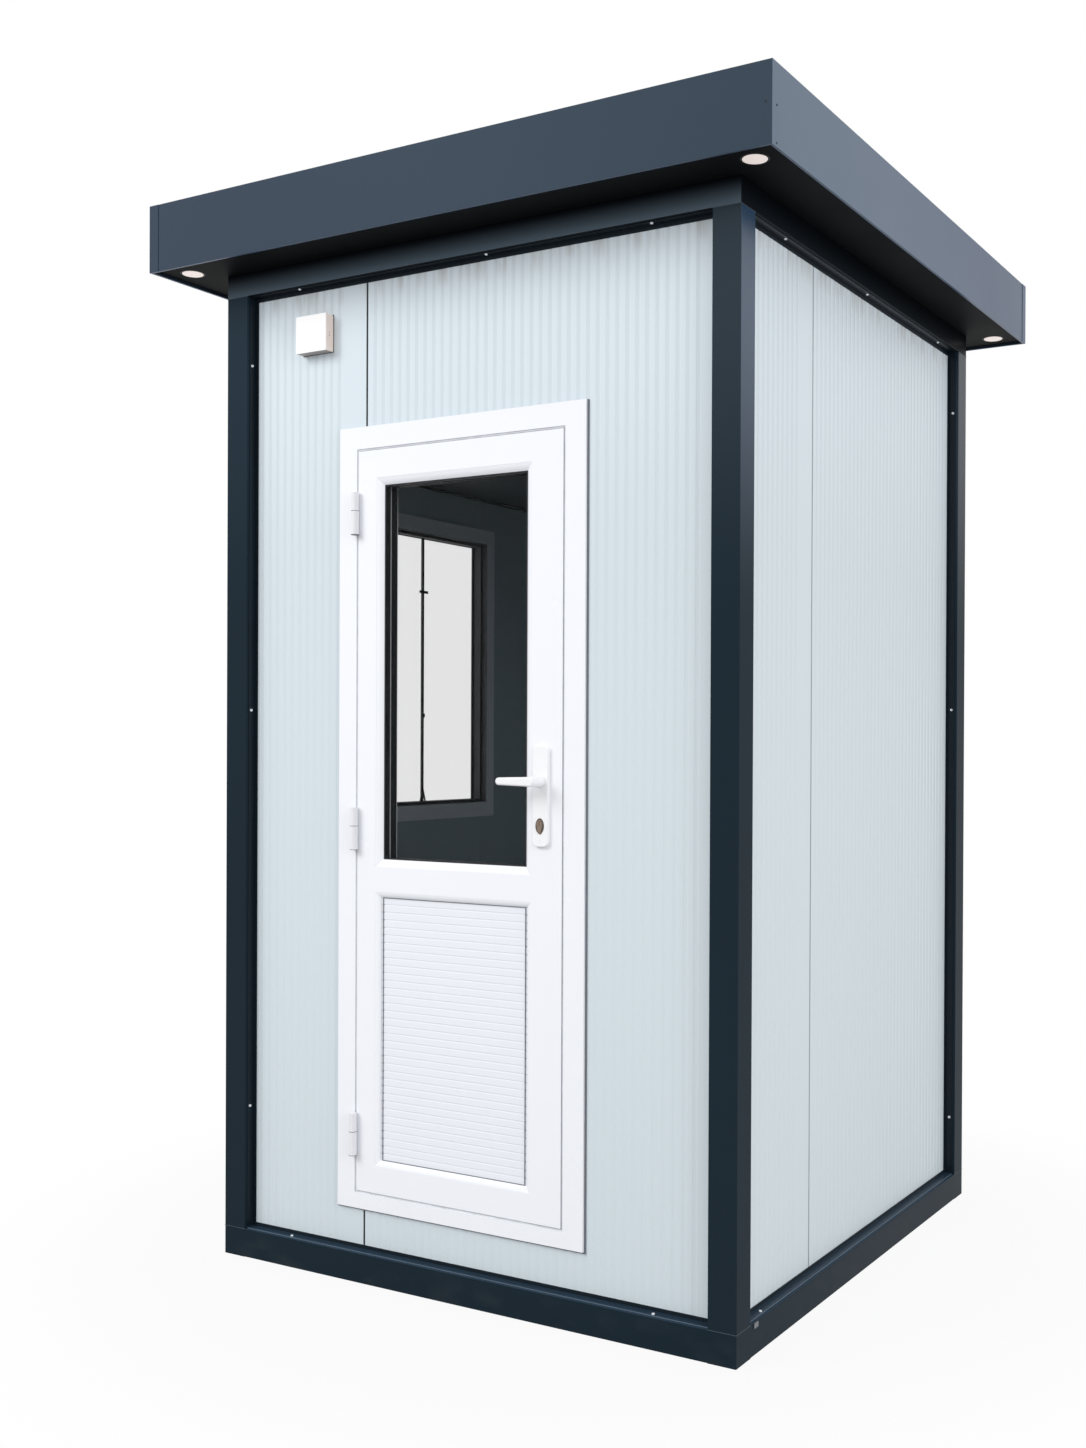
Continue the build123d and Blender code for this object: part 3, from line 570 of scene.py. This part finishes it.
def rubber(name, colour):
    """Matt sealing rubber with a little bloom."""
    seal = Finish(name, colour, 0.62)
    bloom = seal.noise(30.0, 3.0)
    paler = tuple(min(1.0, channel * 1.5) for channel in colour[:3]) + (1.0,)
    seal.set("Base Color", seal.mix(bloom, colour, paler))
    seal.set("Roughness", 0.55 + 0.2 * bloom)
    seal.relief(seal.noise(900.0, 2.0), 0.05 * MM)
    return seal.material


def clear_glass(name, body, cover):
    """Lightly tinted sheet: cover is the share of light that each face keeps back."""
    glass = Finish(name, body, 0.03)
    glass.set("IOR", 1.6)
    glass.set("Roughness", 0.02 + 0.05 * glass.noise(5.0, 4.0))
    glass.set("Alpha", cover)
    return glass.material


def lit_lens(name, colour, glow):
    """Opal cover of a lamp with a faint glow."""
    lens = Finish(name, colour, 0.35)
    lens.set("Emission Color", colour)
    lens.set("Emission Strength", glow)
    lens.set("Roughness", 0.30 + 0.12 * lens.noise(80.0))
    lens.relief(lens.noise(600.0), 0.04 * MM)
    return lens.material


def lamp_housing():
    """Cream plastic of the wall lamp's case, with painted shade on its underside."""
    case = Finish("cream_housing", HOUSING_CREAM, 0.45)
    # Painted shade: the underside is darker
    under = case.axes()[2].under(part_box("wall_lamp_body")[0].z + 2 * HAIR)
    case.set("Base Color", case.mix(under, HOUSING_CREAM, HOUSING_SHADE))
    case.set("Roughness", 0.40 + 0.15 * case.noise(90.0, 2.0))
    case.relief(case.noise(800.0, 2.0), 0.05 * MM)
    return case.material


def bronze():
    """Tarnished lock cylinder."""
    metal = Finish("tarnished_bronze", BRONZE, 0.35, 1.0)
    metal.set("Base Color", metal.mix(metal.noise(220.0, 3.0), BRONZE_DARK, BRONZE))
    metal.set("Roughness", 0.30 + 0.2 * metal.noise(300.0, 2.0))
    return metal.material


def zinc():
    """Bright zinc of the screw heads."""
    metal = Finish("bright_zinc", ZINC, 0.34, 0.3)
    metal.set("Roughness", 0.28 + 0.18 * metal.noise(400.0, 2.0))
    return metal.material


def tab_coat():
    """Scuffed grey steel of the tab on the base."""
    coat = Finish("grey_tab", TAB_GREY, 0.5, 0.3)
    coat.set("Roughness", 0.4 + 0.2 * coat.noise(200.0, 3.0))
    coat.relief(coat.noise(260.0, 3.0), 0.3 * MM)
    return coat.material


def floor_vinyl():
    """Flecked grey floor covering."""
    vinyl = Finish("grey_floor_vinyl", VINYL_GREY, 0.5)
    fleck = vinyl.between(vinyl.noise(160.0, 2.0), 0.52, 0.62)
    vinyl.set("Base Color", vinyl.mix(fleck, VINYL_GREY, VINYL_FLECK))
    vinyl.set("Roughness", 0.42 + 0.15 * vinyl.noise(12.0, 2.0))
    vinyl.relief(vinyl.noise(240.0, 2.0), 0.1 * MM)
    return vinyl.material


def new_piece(name, shape, body, material):
    """Turn a bmesh into a piece of the booth that rides on a body."""
    bmesh.ops.recalc_face_normals(shape, faces=shape.faces)
    mesh = bpy.data.meshes.new(name)
    shape.to_mesh(mesh)
    shape.free()
    mesh.materials.append(material)
    piece = bpy.data.objects.new(name, mesh)
    bpy.context.scene.collection.objects.link(piece)
    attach(piece, body)
    return piece


def paint(names, material):
    """Give CAD nodes their finish."""
    for name in names:
        mesh = frame["nodes"][name].data
        mesh.materials.clear()
        mesh.materials.append(material)


def quarter_turn(quarter):
    """Turn from the door wall's place to another wall, anticlockwise seen from above."""
    return Matrix.Rotation(quarter * math.pi / 2, 4, "Z")


def add_block(shape, low, high, quarter=0):
    """Add a box between two corners of the door wall's place, turned to its wall."""
    size = Vector(high) - Vector(low)
    middle = (Vector(high) + Vector(low)) / 2
    spread = quarter_turn(quarter) @ Matrix.Translation(middle) @ Matrix.Diagonal((*size, 1.0))
    bmesh.ops.create_cube(shape, size=1.0, matrix=spread)


def add_bar(shape, start, end, width):
    """Add a square bar between two points."""
    run = Vector(end) - Vector(start)
    turn = run.to_track_quat("Z", "X").to_matrix().to_4x4()
    middle = (Vector(start) + Vector(end)) / 2
    spread = Matrix.Translation(middle) @ turn @ Matrix.Diagonal((width, width, run.length, 1.0))
    bmesh.ops.create_cube(shape, size=1.0, matrix=spread)


def soften(shape, size):
    """Round every edge of a shape a little."""
    bmesh.ops.bevel(
        shape,
        geom=shape.edges[:],
        offset=size,
        offset_type="OFFSET",
        affect="EDGES",
        segments=2,
        profile=0.5,
        material=-1,
    )


def add_ring(shape, area, width, y0, y1):
    """Add a rectangular ring in the door wall's plane: area is (x0, x1, z0, z1) of its outer edge."""
    x0, x1, z0, z1 = area
    middle = Vector(((x0 + x1) / 2, y0, (z0 + z1) / 2))
    spread = Matrix.Translation(middle) @ Matrix.Diagonal((x1 - x0, 1.0, z1 - z0, 1.0))
    upright = spread @ Matrix.Rotation(math.pi / 2, 4, "X")
    made = bmesh.ops.create_grid(shape, x_segments=1, y_segments=1, size=0.5, matrix=upright)
    face = made["verts"][0].link_faces[0]
    bmesh.ops.inset_region(shape, faces=[face], thickness=width, use_boundary=True, use_even_offset=True)
    bmesh.ops.delete(shape, geom=[face], context="FACES_ONLY")
    ring = list({f for v in made["verts"] for f in v.link_faces})
    pushed = bmesh.ops.extrude_face_region(shape, geom=ring)
    moved = [g for g in pushed["geom"] if isinstance(g, bmesh.types.BMVert)]
    bmesh.ops.translate(shape, verts=moved, vec=(0, y1 - y0, 0))


def add_screw(shape, place, axis, radius, height):
    """Add a small tapered head with a round recess, pointing along axis."""
    turn = Vector((0, 0, 1)).rotation_difference(Vector(axis)).to_matrix().to_4x4()
    seat = Matrix.Translation(place) @ turn
    raised = seat @ Matrix.Translation((0, 0, height / 2))
    made = bmesh.ops.create_cone(
        shape,
        cap_ends=True,
        segments=SCREW_SIDES,
        radius1=radius,
        radius2=radius * SCREW_CROWN,
        depth=height,
        matrix=raised,
    )
    faces = {face for corner in made["verts"] for face in corner.link_faces}
    top = max(faces, key=lambda face: face.calc_center_median().dot(Vector(axis)))
    rim = radius * RECESS_RIM
    bmesh.ops.inset_individual(shape, faces=[top], thickness=rim, depth=-height * RECESS_DEPTH)


def turned_place(x, y, z, quarter):
    """A point of the door wall's place on another wall."""
    return quarter_turn(quarter) @ Vector((x, y, z))


def bead_screws(metal):
    """Screws through the feet of the panel beads on all four walls."""
    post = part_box("corner_post_front_right")
    inner = post[0].x
    low = post[0].z + BEAD_SHEET
    high = post[1].z - BEAD_SHEET
    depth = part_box("front_panel_right")[0].y - BEAD_SCREW_DEPTH
    shape = bmesh.new()
    for quarter in range(4):
        up = turned_place(0, 0, 1, quarter)
        for x in SILL_SCREWS[quarter]:
            add_screw(shape, turned_place(x, depth, low, quarter), up, SCREW_RADIUS, SCREW_HEIGHT)
        for x in HEAD_SCREWS[quarter]:
            add_screw(shape, turned_place(x, depth, high, quarter), -up, SCREW_RADIUS, SCREW_HEIGHT)
        for side, levels in ((-1, LEFT_POST_SCREWS), (1, RIGHT_POST_SCREWS)):
            x = side * (inner - BEAD_SHEET)
            axis = turned_place(-side, 0, 0, quarter)
            for z in levels:
                add_screw(shape, turned_place(x, depth, z, quarter), axis, SCREW_RADIUS, SCREW_HEIGHT)
    new_piece("bead_screws", shape, "booth", metal)


def fascia_rivets(coat):
    """Dark rivets beside the corners of the fascia."""
    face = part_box("fascia_front")[0].y
    shape = bmesh.new()
    for quarter, x, z in FASCIA_RIVETS:
        out = turned_place(0, -1, 0, quarter)
        add_screw(shape, turned_place(x, face, z, quarter), out, RIVET_RADIUS, RIVET_HEIGHT)
    new_piece("fascia_rivets", shape, "booth", coat)


def post_joint_lines(coat):
    """Thin seams where the posts stand on the base and carry the top corners."""
    low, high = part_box("corner_post_front_right")
    shape = bmesh.new()
    for quarter in range(4):
        for level in (low.z, high.z):
            z0 = level - LINE_HEIGHT / 2
            z1 = level + LINE_HEIGHT / 2
            right = high.x + LINE_PROUD
            add_block(shape, (low.x, low.y - LINE_PROUD, z0), (right, low.y + LINE_PROUD, z1), quarter)
            add_block(shape, (high.x - LINE_PROUD, low.y, z0), (right, high.y, z1), quarter)
    new_piece("post_joint_lines", shape, "booth", coat)


def hinge_seams(dark):
    """Dark seams round each hinge barrel: at its split, and under its foot as painted shade."""
    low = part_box("hinge_frame_halves")[0]
    axis_x = low.x + HINGE_AXIS_IN
    axis_y = low.y + HINGE_AXIS_IN
    shape = bmesh.new()
    for foot in HINGE_FEET:
        for level in (foot - HINGE_SEAM / 2, foot + HINGE_SPLIT):
            bmesh.ops.create_cone(
                shape,
                cap_ends=True,
                segments=HINGE_SIDES,
                radius1=HINGE_RADIUS,
                radius2=HINGE_RADIUS,
                depth=HINGE_SEAM,
                matrix=Matrix.Translation((axis_x, axis_y, level)),
            )
    new_piece("hinge_seams", shape, "booth", dark)


def outline(node):
    """A node's (x0, x1, z0, z1)."""
    low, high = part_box(node)
    return (low.x, high.x, low.z, high.z)


def shrunk(area, margin):
    """A rectangle (x0, x1, z0, z1) made smaller on every side."""
    x0, x1, z0, z1 = area
    return (x0 + margin, x1 - margin, z0 + margin, z1 - margin)


def door_glazing(glass, black):
    """Two sheets of glass with their spacer bar, seals and a black ring of painted shade inside the sight, in
    the place of the glazing slab.
    """
    low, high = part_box("door_glass")
    area = outline("door_glass")
    shape = bmesh.new()
    add_block(shape, low, (high.x, low.y + SHEET_THICKNESS, high.z))
    add_block(shape, (low.x, high.y - SHEET_THICKNESS, low.z), high)
    sheets = new_piece("door_glass_sheets", shape, "door", glass)
    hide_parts("door_glass")
    sight = shrunk(area, REBATE_GRIP)
    spacer = bmesh.new()
    gap0 = low.y + SHEET_THICKNESS
    gap1 = high.y - SHEET_THICKNESS
    seal = SPACER_SEAL
    rim = shrunk(sight, -SPACER_WIDTH)
    add_ring(spacer, rim, SPACER_WIDTH, gap0 + seal, gap1 - seal)
    new_piece("door_glass_spacer", spacer, "door", black)
    seals = bmesh.new()
    for y0, y1 in ((gap0, gap0 + seal), (gap1 - seal, gap1)):
        add_ring(seals, rim, SPACER_WIDTH, y0, y1)
    add_ring(seals, shrunk(sight, -SEAL_TUCK), SEAL_WIDTH, low.y - SEAL_PROUD, low.y)
    # Painted shade: black lining round the sight behind the glass
    add_ring(seals, sight, REVEAL_SHADE_LINING, high.y, high.y + REVEAL_SHADE_DEPTH)
    new_piece("door_glass_seals", seals, "door", black)


def panel_joint_strips(black, grey):
    """Strips sunk in the joints between the wall panels, one kind of strip in two tones as painted light and
    shade: black beside the door and grey elsewhere.
    """
    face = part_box("front_panel_right")[0].y + JOINT_STRIP_SINK
    foot, head = (corner.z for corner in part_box("right_panel_wide"))
    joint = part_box("right_panel_wide")[0].y
    door_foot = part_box("front_panel_under_door")[1].z
    door_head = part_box("front_panel_over_door")[0].z
    window_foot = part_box("left_panel_under_window")[1].z
    window_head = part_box("left_panel_over_window")[0].z
    runs = (
        (0, joint, foot, door_foot),
        (0, joint, door_head, head),
        (1, joint, foot, head),
        (2, joint, foot, head),
        (3, LEFT_JOINT, foot, window_foot),
        (3, LEFT_JOINT, window_head, head),
    )
    # Painted shade: the joints beside the door are black, the others grey
    front = bmesh.new()
    others = bmesh.new()
    for quarter, x, low, high in runs:
        corner = (x - JOINT_STRIP / 2, face, low)
        shape = others if quarter else front
        add_block(shape, corner, (x + JOINT_STRIP / 2, face + JOINT_STRIP_DEPTH, high), quarter)
    new_piece("front_joint_strips_shaded", front, "booth", black)
    new_piece("other_joint_strips", others, "booth", grey)


def wall_seals(grey):
    """Dark bead round the flanges of door and window, a seal that is also the painted shadow of the flange on
    the wall; its top run hides behind the flange.
    """
    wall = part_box("front_panel_right")[0].y
    low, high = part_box("window_frame")
    window = (-high.y, -low.y, low.z, high.z)
    runs = (("door_wall_seal_and_shadow", outline("door_frame"), 0), ("window_wall_seal", window, 3))
    for name, area, quarter in runs:
        x0, x1, z0, z1 = shrunk(area, -WALL_SEAL)
        run = (x0, x1, z0, z1 - WALL_SEAL)
        shape = bmesh.new()
        add_ring(shape, run, WALL_SEAL, wall - WALL_SEAL_PROUD, wall + RIB_DEPTH)
        bmesh.ops.transform(shape, matrix=quarter_turn(quarter), verts=shape.verts[:])
        new_piece(name, shape, "booth", grey)


def infill_seal(grey):
    """Seal round the lower infill."""
    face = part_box("door_infill")[0].y
    x0, x1, z0, z1 = outline("door_infill")
    sight = (x0 + REBATE_GRIP, x1 - REBATE_GRIP, z0 + REBATE_GRIP / 2, z1 - REBATE_GRIP / 2)
    shape = bmesh.new()
    add_ring(shape, shrunk(sight, -SEAL_TUCK), INFILL_SEAL_WIDTH, face - SEAL_PROUD, face + SEAL_PROUD)
    new_piece("door_infill_seal", shape, "door", grey)


def leaf_seal(grey):
    """Sealing lip in the gap between the frame and the leaf."""
    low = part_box("door_leaf")[0]
    gap = shrunk(outline("door_leaf"), -LEAF_GAP)
    shape = bmesh.new()
    add_ring(shape, gap, LEAF_SEAL_WIDTH, low.y + LEAF_SEAL_SINK, low.y + LEAF_LIP)
    new_piece("door_frame_seal", shape, "booth", grey)


def window_reveal(black):
    """Dark lining of the window frame's opening, behind the sash: a gasket, and painted shade in the reveal.
    """
    sash_low, sash_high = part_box("window_sash")
    sight = (-sash_high.y, -sash_low.y, sash_low.z, sash_high.z)
    shape = bmesh.new()
    add_ring(shape, sight, REVEAL_SHADE_LINING, sash_high.x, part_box("window_frame")[1].x)
    bmesh.ops.transform(shape, matrix=quarter_turn(3), verts=shape.verts[:])
    new_piece("window_reveal", shape, "booth", black)


def bar_catches(black):
    """Catches and forked foot of the window's bar."""
    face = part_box("window_pane")[1].x + BAR_DEPTH
    shape = bmesh.new()
    for y0, y1, z0, z1 in (UPPER_CATCH, LOWER_CATCH):
        add_block(shape, (face, y0, z0), (face + CATCH_THICKNESS, y1, z1))
    middle = sum(FORK_FEET) / 2
    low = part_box("window_sash")[0].z + SASH_WIDTH
    for foot in FORK_FEET:
        depth = face - FORK_WIDTH / 2
        add_bar(shape, (depth, middle, FORK_TOP), (depth, foot, low), FORK_WIDTH)
    soften(shape, CATCH_EDGE)
    new_piece("window_bar_catches", shape, "booth", black)


def add_oval(shape, place, width, tall, depth):
    """Add an oval disc on the door's outer side, its back at the given place."""
    seat = Matrix.Translation(place - Vector((0, depth / 2, 0)))
    spread = seat @ Matrix.Diagonal((width / 2, 1.0, tall / 2, 1.0)) @ Matrix.Rotation(math.pi / 2, 4, "X")
    bmesh.ops.create_cone(
        shape,
        cap_ends=True,
        segments=ROSE_SIDES,
        radius1=1.0,
        radius2=ROSE_CROWN,
        depth=depth,
        matrix=spread,
    )


def lock_face(metal, black):
    """Oval rose of the lock cylinder: dark rim, bronze centre, plug and keyway."""
    low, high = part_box("lock_cylinder")
    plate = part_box("handle_plates")[0].y
    centre_x = (low.x + high.x) / 2
    middle = Vector((centre_x, plate, (low.z + high.z) / 2 + ROSE_LIFT))
    rim = bmesh.new()
    add_oval(rim, middle, *ROSE_RIM)
    new_piece("lock_rose_rim", rim, "door", black)
    centre = bmesh.new()
    add_oval(centre, middle, *ROSE_CENTRE)
    face = plate - ROSE_CENTRE[2]
    seat = Vector((centre_x, face, high.z - (high.x - low.x) / 2))
    add_screw(centre, seat, (0, -1, 0), PLUG_RADIUS, PLUG_PROUD)
    new_piece("lock_rose", centre, "door", metal)
    slot = bmesh.new()
    width, tall = KEYWAY
    foot = (centre_x - width / 2, face - PLUG_PROUD, seat.z - tall / 2)
    add_block(slot, foot, (centre_x + width / 2, face, seat.z + tall / 2))
    new_piece("keyway", slot, "door", black)


def plate_screws(metal):
    """Screw at the foot of each handle plate."""
    low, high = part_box("handle_plates")
    x = (low.x + high.x) / 2
    z = low.z + PLATE_SCREW_INSET
    shape = bmesh.new()
    for y, out in ((low.y, -1), (high.y, 1)):
        add_screw(shape, Vector((x, y, z)), (0, out, 0), PLATE_SCREW_RADIUS, PLATE_SCREW_HEIGHT)
    new_piece("plate_screws", shape, "door", metal)


def lamp_gasket_and_shadow(black):
    """Thin dark gasket between the wall lamp and the wall, which is also the painted shadow of the gap there.
    """
    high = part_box("wall_lamp_body")[1]
    area = shrunk(outline("wall_lamp_body"), -GASKET_PROUD)
    shape = bmesh.new()
    add_ring(shape, area, GASKET_PROUD, high.y - GASKET_DEPTH, high.y)
    new_piece("lamp_gasket_and_shadow", shape, "booth", black)


def lamp_screws(black):
    """Two small dark screws in the side of the wall lamp."""
    low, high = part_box("wall_lamp_body")
    shape = bmesh.new()
    for level in LAMP_SCREW_LEVELS:
        place = Vector((high.x, high.y - LAMP_SCREW_DEPTH, low.z + level))
        add_screw(shape, place, (1, 0, 0), LAMP_SCREW_RADIUS, LAMP_SCREW_HEIGHT)
    new_piece("lamp_screws", shape, "booth", black)


def base_tab(grey):
    """Small bent tab on the base's right rail, beside the corner."""
    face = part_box("base_rails")[1].x
    y0, y1 = TAB_PLACE
    shape = bmesh.new()
    add_block(shape, (face, y0, TAB_LIFT), (face + TAB_THICKNESS, y1, TAB_LIFT + TAB_HEIGHT))
    soften(shape, TAB_EDGE)
    new_piece("base_tab", shape, "booth", grey)


def finish_nodes():
    """Give the CAD nodes their finishes, by the record's slots and by name."""
    nodes = list(frame["nodes"])
    slots = {piece["node"]: piece["material_slot"] for piece in frame["record"]["subparts"]}
    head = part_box("corner_post_front_right")[1].z
    finishes = {
        "steel": base_coat(),
        "panel": panel_skin("panel_skin", head),
        "roof": panel_skin("roof_skin"),
        "lining": ceiling_skin(),
        "trim": rubber("black_trim", RUBBER_BLACK),
        "floor": floor_vinyl(),
        "lens": lit_lens("downlight_lens", LENS_WARM, DOWNLIGHT_GLOW),
        "lamp": lamp_housing(),
        "plastic": window_plastic(),
        "handle": enamel(),
        "glass": clear_glass("door_glass", GLASS_BODY, DOOR_GLASS_COVER),
        "brass": bronze(),
    }
    for slot, material in finishes.items():
        paint([node for node in nodes if slots[node] == slot], material)
    paint([node for node in nodes if node.startswith("corner_post")], post_coat())
    paint([node for node in nodes if node.startswith("fascia") or node == "corner_strips"], band_coat())
    paint([node for node in nodes if node.startswith("soffit")], soffit_coat())
    paint(["panel_beads"], bead_coat())
    paint(["wall_lamp_lens"], lit_lens("wall_lamp_lens", LENS_WHITE, WALL_LAMP_GLOW))
    paint(["window_pane"], clear_glass("window_glass", GLASS_BODY, WINDOW_GLASS_COVER))
    paint(["window_sash"], finishes["trim"])
    # Painted shade: the hinges are a greyer white than the door's plastic
    paint(["hinge_frame_halves", "hinge_leaf_halves"], flat_coat("hinge_shaded_white", HINGE_SHADED_WHITE, 0.25))
    paint(["door_infill"], infill_coat())
    return finishes


def dress_booth():
    """Finishes of the CAD nodes and the small pieces round them."""
    finishes = finish_nodes()
    black = finishes["trim"]
    grey = rubber("grey_seal", RUBBER_GREY)
    metal = zinc()
    bead_screws(metal)
    fascia_rivets(black)
    post_joint_lines(flat_coat("joint_line", JOINT_LINE, 0.5))
    panel_joint_strips(black, rubber("joint_grey", JOINT_GREY))
    wall_seals(grey)
    door_glazing(finishes["glass"], black)
    hinge_seams(flat_coat("hinge_shade", HINGE_SHADE, 0.5))
    infill_seal(grey)
    leaf_seal(rubber("pale_seal", SEAL_GREY))
    window_reveal(black)
    bar_catches(black)
    lock_face(finishes["brass"], flat_coat("dark_bronze", ROSE_DARK, 0.4))
    plate_screws(metal)
    lamp_gasket_and_shadow(black)
    lamp_screws(black)
    base_tab(tab_coat())


def seen_rays(finish):
    """1 for what the eye sees, straight on or in gloss and glass, and 0 for light that falls on things."""
    ray = finish.tree.nodes.new("ShaderNodeLightPath")
    names = ("Is Camera Ray", "Is Glossy Ray", "Is Transmission Ray")
    first, second, third = (Reading(finish, ray.outputs[name]) for name in names)
    return first + second + third


def studio_floor():
    """Pale floor that keeps the shadow near the booth and fades to white further out."""
    ground = Finish("studio_floor", FLOOR_GREY, 0.9)
    spot = ground.node("ShaderNodeTexCoord", output="Object")
    away = ground.node("ShaderNodeVectorMath", {"operation": "LENGTH"}, {0: spot}, output="Value")
    fade = FLOOR_WHITENESS + (1.0 - FLOOR_WHITENESS) * ground.between(away, *FLOOR_FADE)
    white = ground.node("ShaderNodeEmission", {}, {"Color": (1, 1, 1, 1), "Strength": 1.0})
    lit = Reading(ground, ground.shader.outputs[0])
    surface = ground.node("ShaderNodeMixShader", {}, {0: fade * seen_rays(ground), 1: lit, 2: white})
    ground.feed(ground.tree.nodes["Material Output"].inputs["Surface"], surface)
    shape = bmesh.new()
    bmesh.ops.create_grid(shape, x_segments=1, y_segments=1, size=FLOOR_REACH)
    mesh = bpy.data.meshes.new("studio_floor")
    shape.to_mesh(mesh)
    shape.free()
    mesh.materials.append(ground.material)
    floor = bpy.data.objects.new("studio_floor", mesh)
    bpy.context.scene.collection.objects.link(floor)


def studio_world():
    """Even pale surroundings: white to the eye and in reflections, softer as light."""
    world = bpy.data.worlds.new("studio")
    bpy.context.scene.world = world
    world.use_nodes = True
    sky = Surroundings(world)
    background = sky.tree.nodes["Background"]
    background.inputs["Color"].default_value = (1, 1, 1, 1)
    sky.feed(background.inputs["Strength"], WORLD_LIGHT + (1.0 - WORLD_LIGHT) * seen_rays(sky))


def soft_lamp(name, place, target, size, power):
    """Square soft light that points at a target."""
    data = bpy.data.lights.new(name, "AREA")
    data.shape = "SQUARE"
    data.size = size
    data.energy = power
    lamp = bpy.data.objects.new(name, data)
    lamp.visible_glossy = False
    bpy.context.scene.collection.objects.link(lamp)
    aim = Vector(target) - Vector(place)
    lamp.matrix_world = Matrix.Translation(place) @ aim.to_track_quat("-Z", "Y").to_matrix().to_4x4()


def studio_lights():
    """Key light from the upper left in front of the door, and a weaker one on the right wall."""
    soft_lamp(*KEY_LIGHT)
    soft_lamp(*RIGHT_LIGHT)


def studio_camera():
    """Camera with the photograph's place, turn, focal length and framing."""
    forward = Vector((-math.sin(YAW) * math.cos(PITCH), math.cos(YAW) * math.cos(PITCH), math.sin(PITCH)))
    level = Vector((math.cos(YAW), math.sin(YAW), 0.0))
    upright = level.cross(forward)
    right = level * math.cos(ROLL) + upright * math.sin(ROLL)
    up = upright * math.cos(ROLL) - level * math.sin(ROLL)
    data = bpy.data.cameras.new("camera")
    data.sensor_width = SENSOR
    data.lens = SENSOR * FOCAL_PIXELS / PICTURE_HEIGHT
    data.shift_x, data.shift_y = SHIFT
    camera = bpy.data.objects.new("camera", data)
    bpy.context.scene.collection.objects.link(camera)
    turn = Matrix((right, up, -forward)).transposed().to_4x4()
    camera.matrix_world = Matrix.Translation(EYE) @ turn
    bpy.context.scene.camera = camera


dress_booth()
studio_floor()
studio_world()
studio_lights()
studio_camera()
bpy.context.scene.view_settings.view_transform = "Standard"
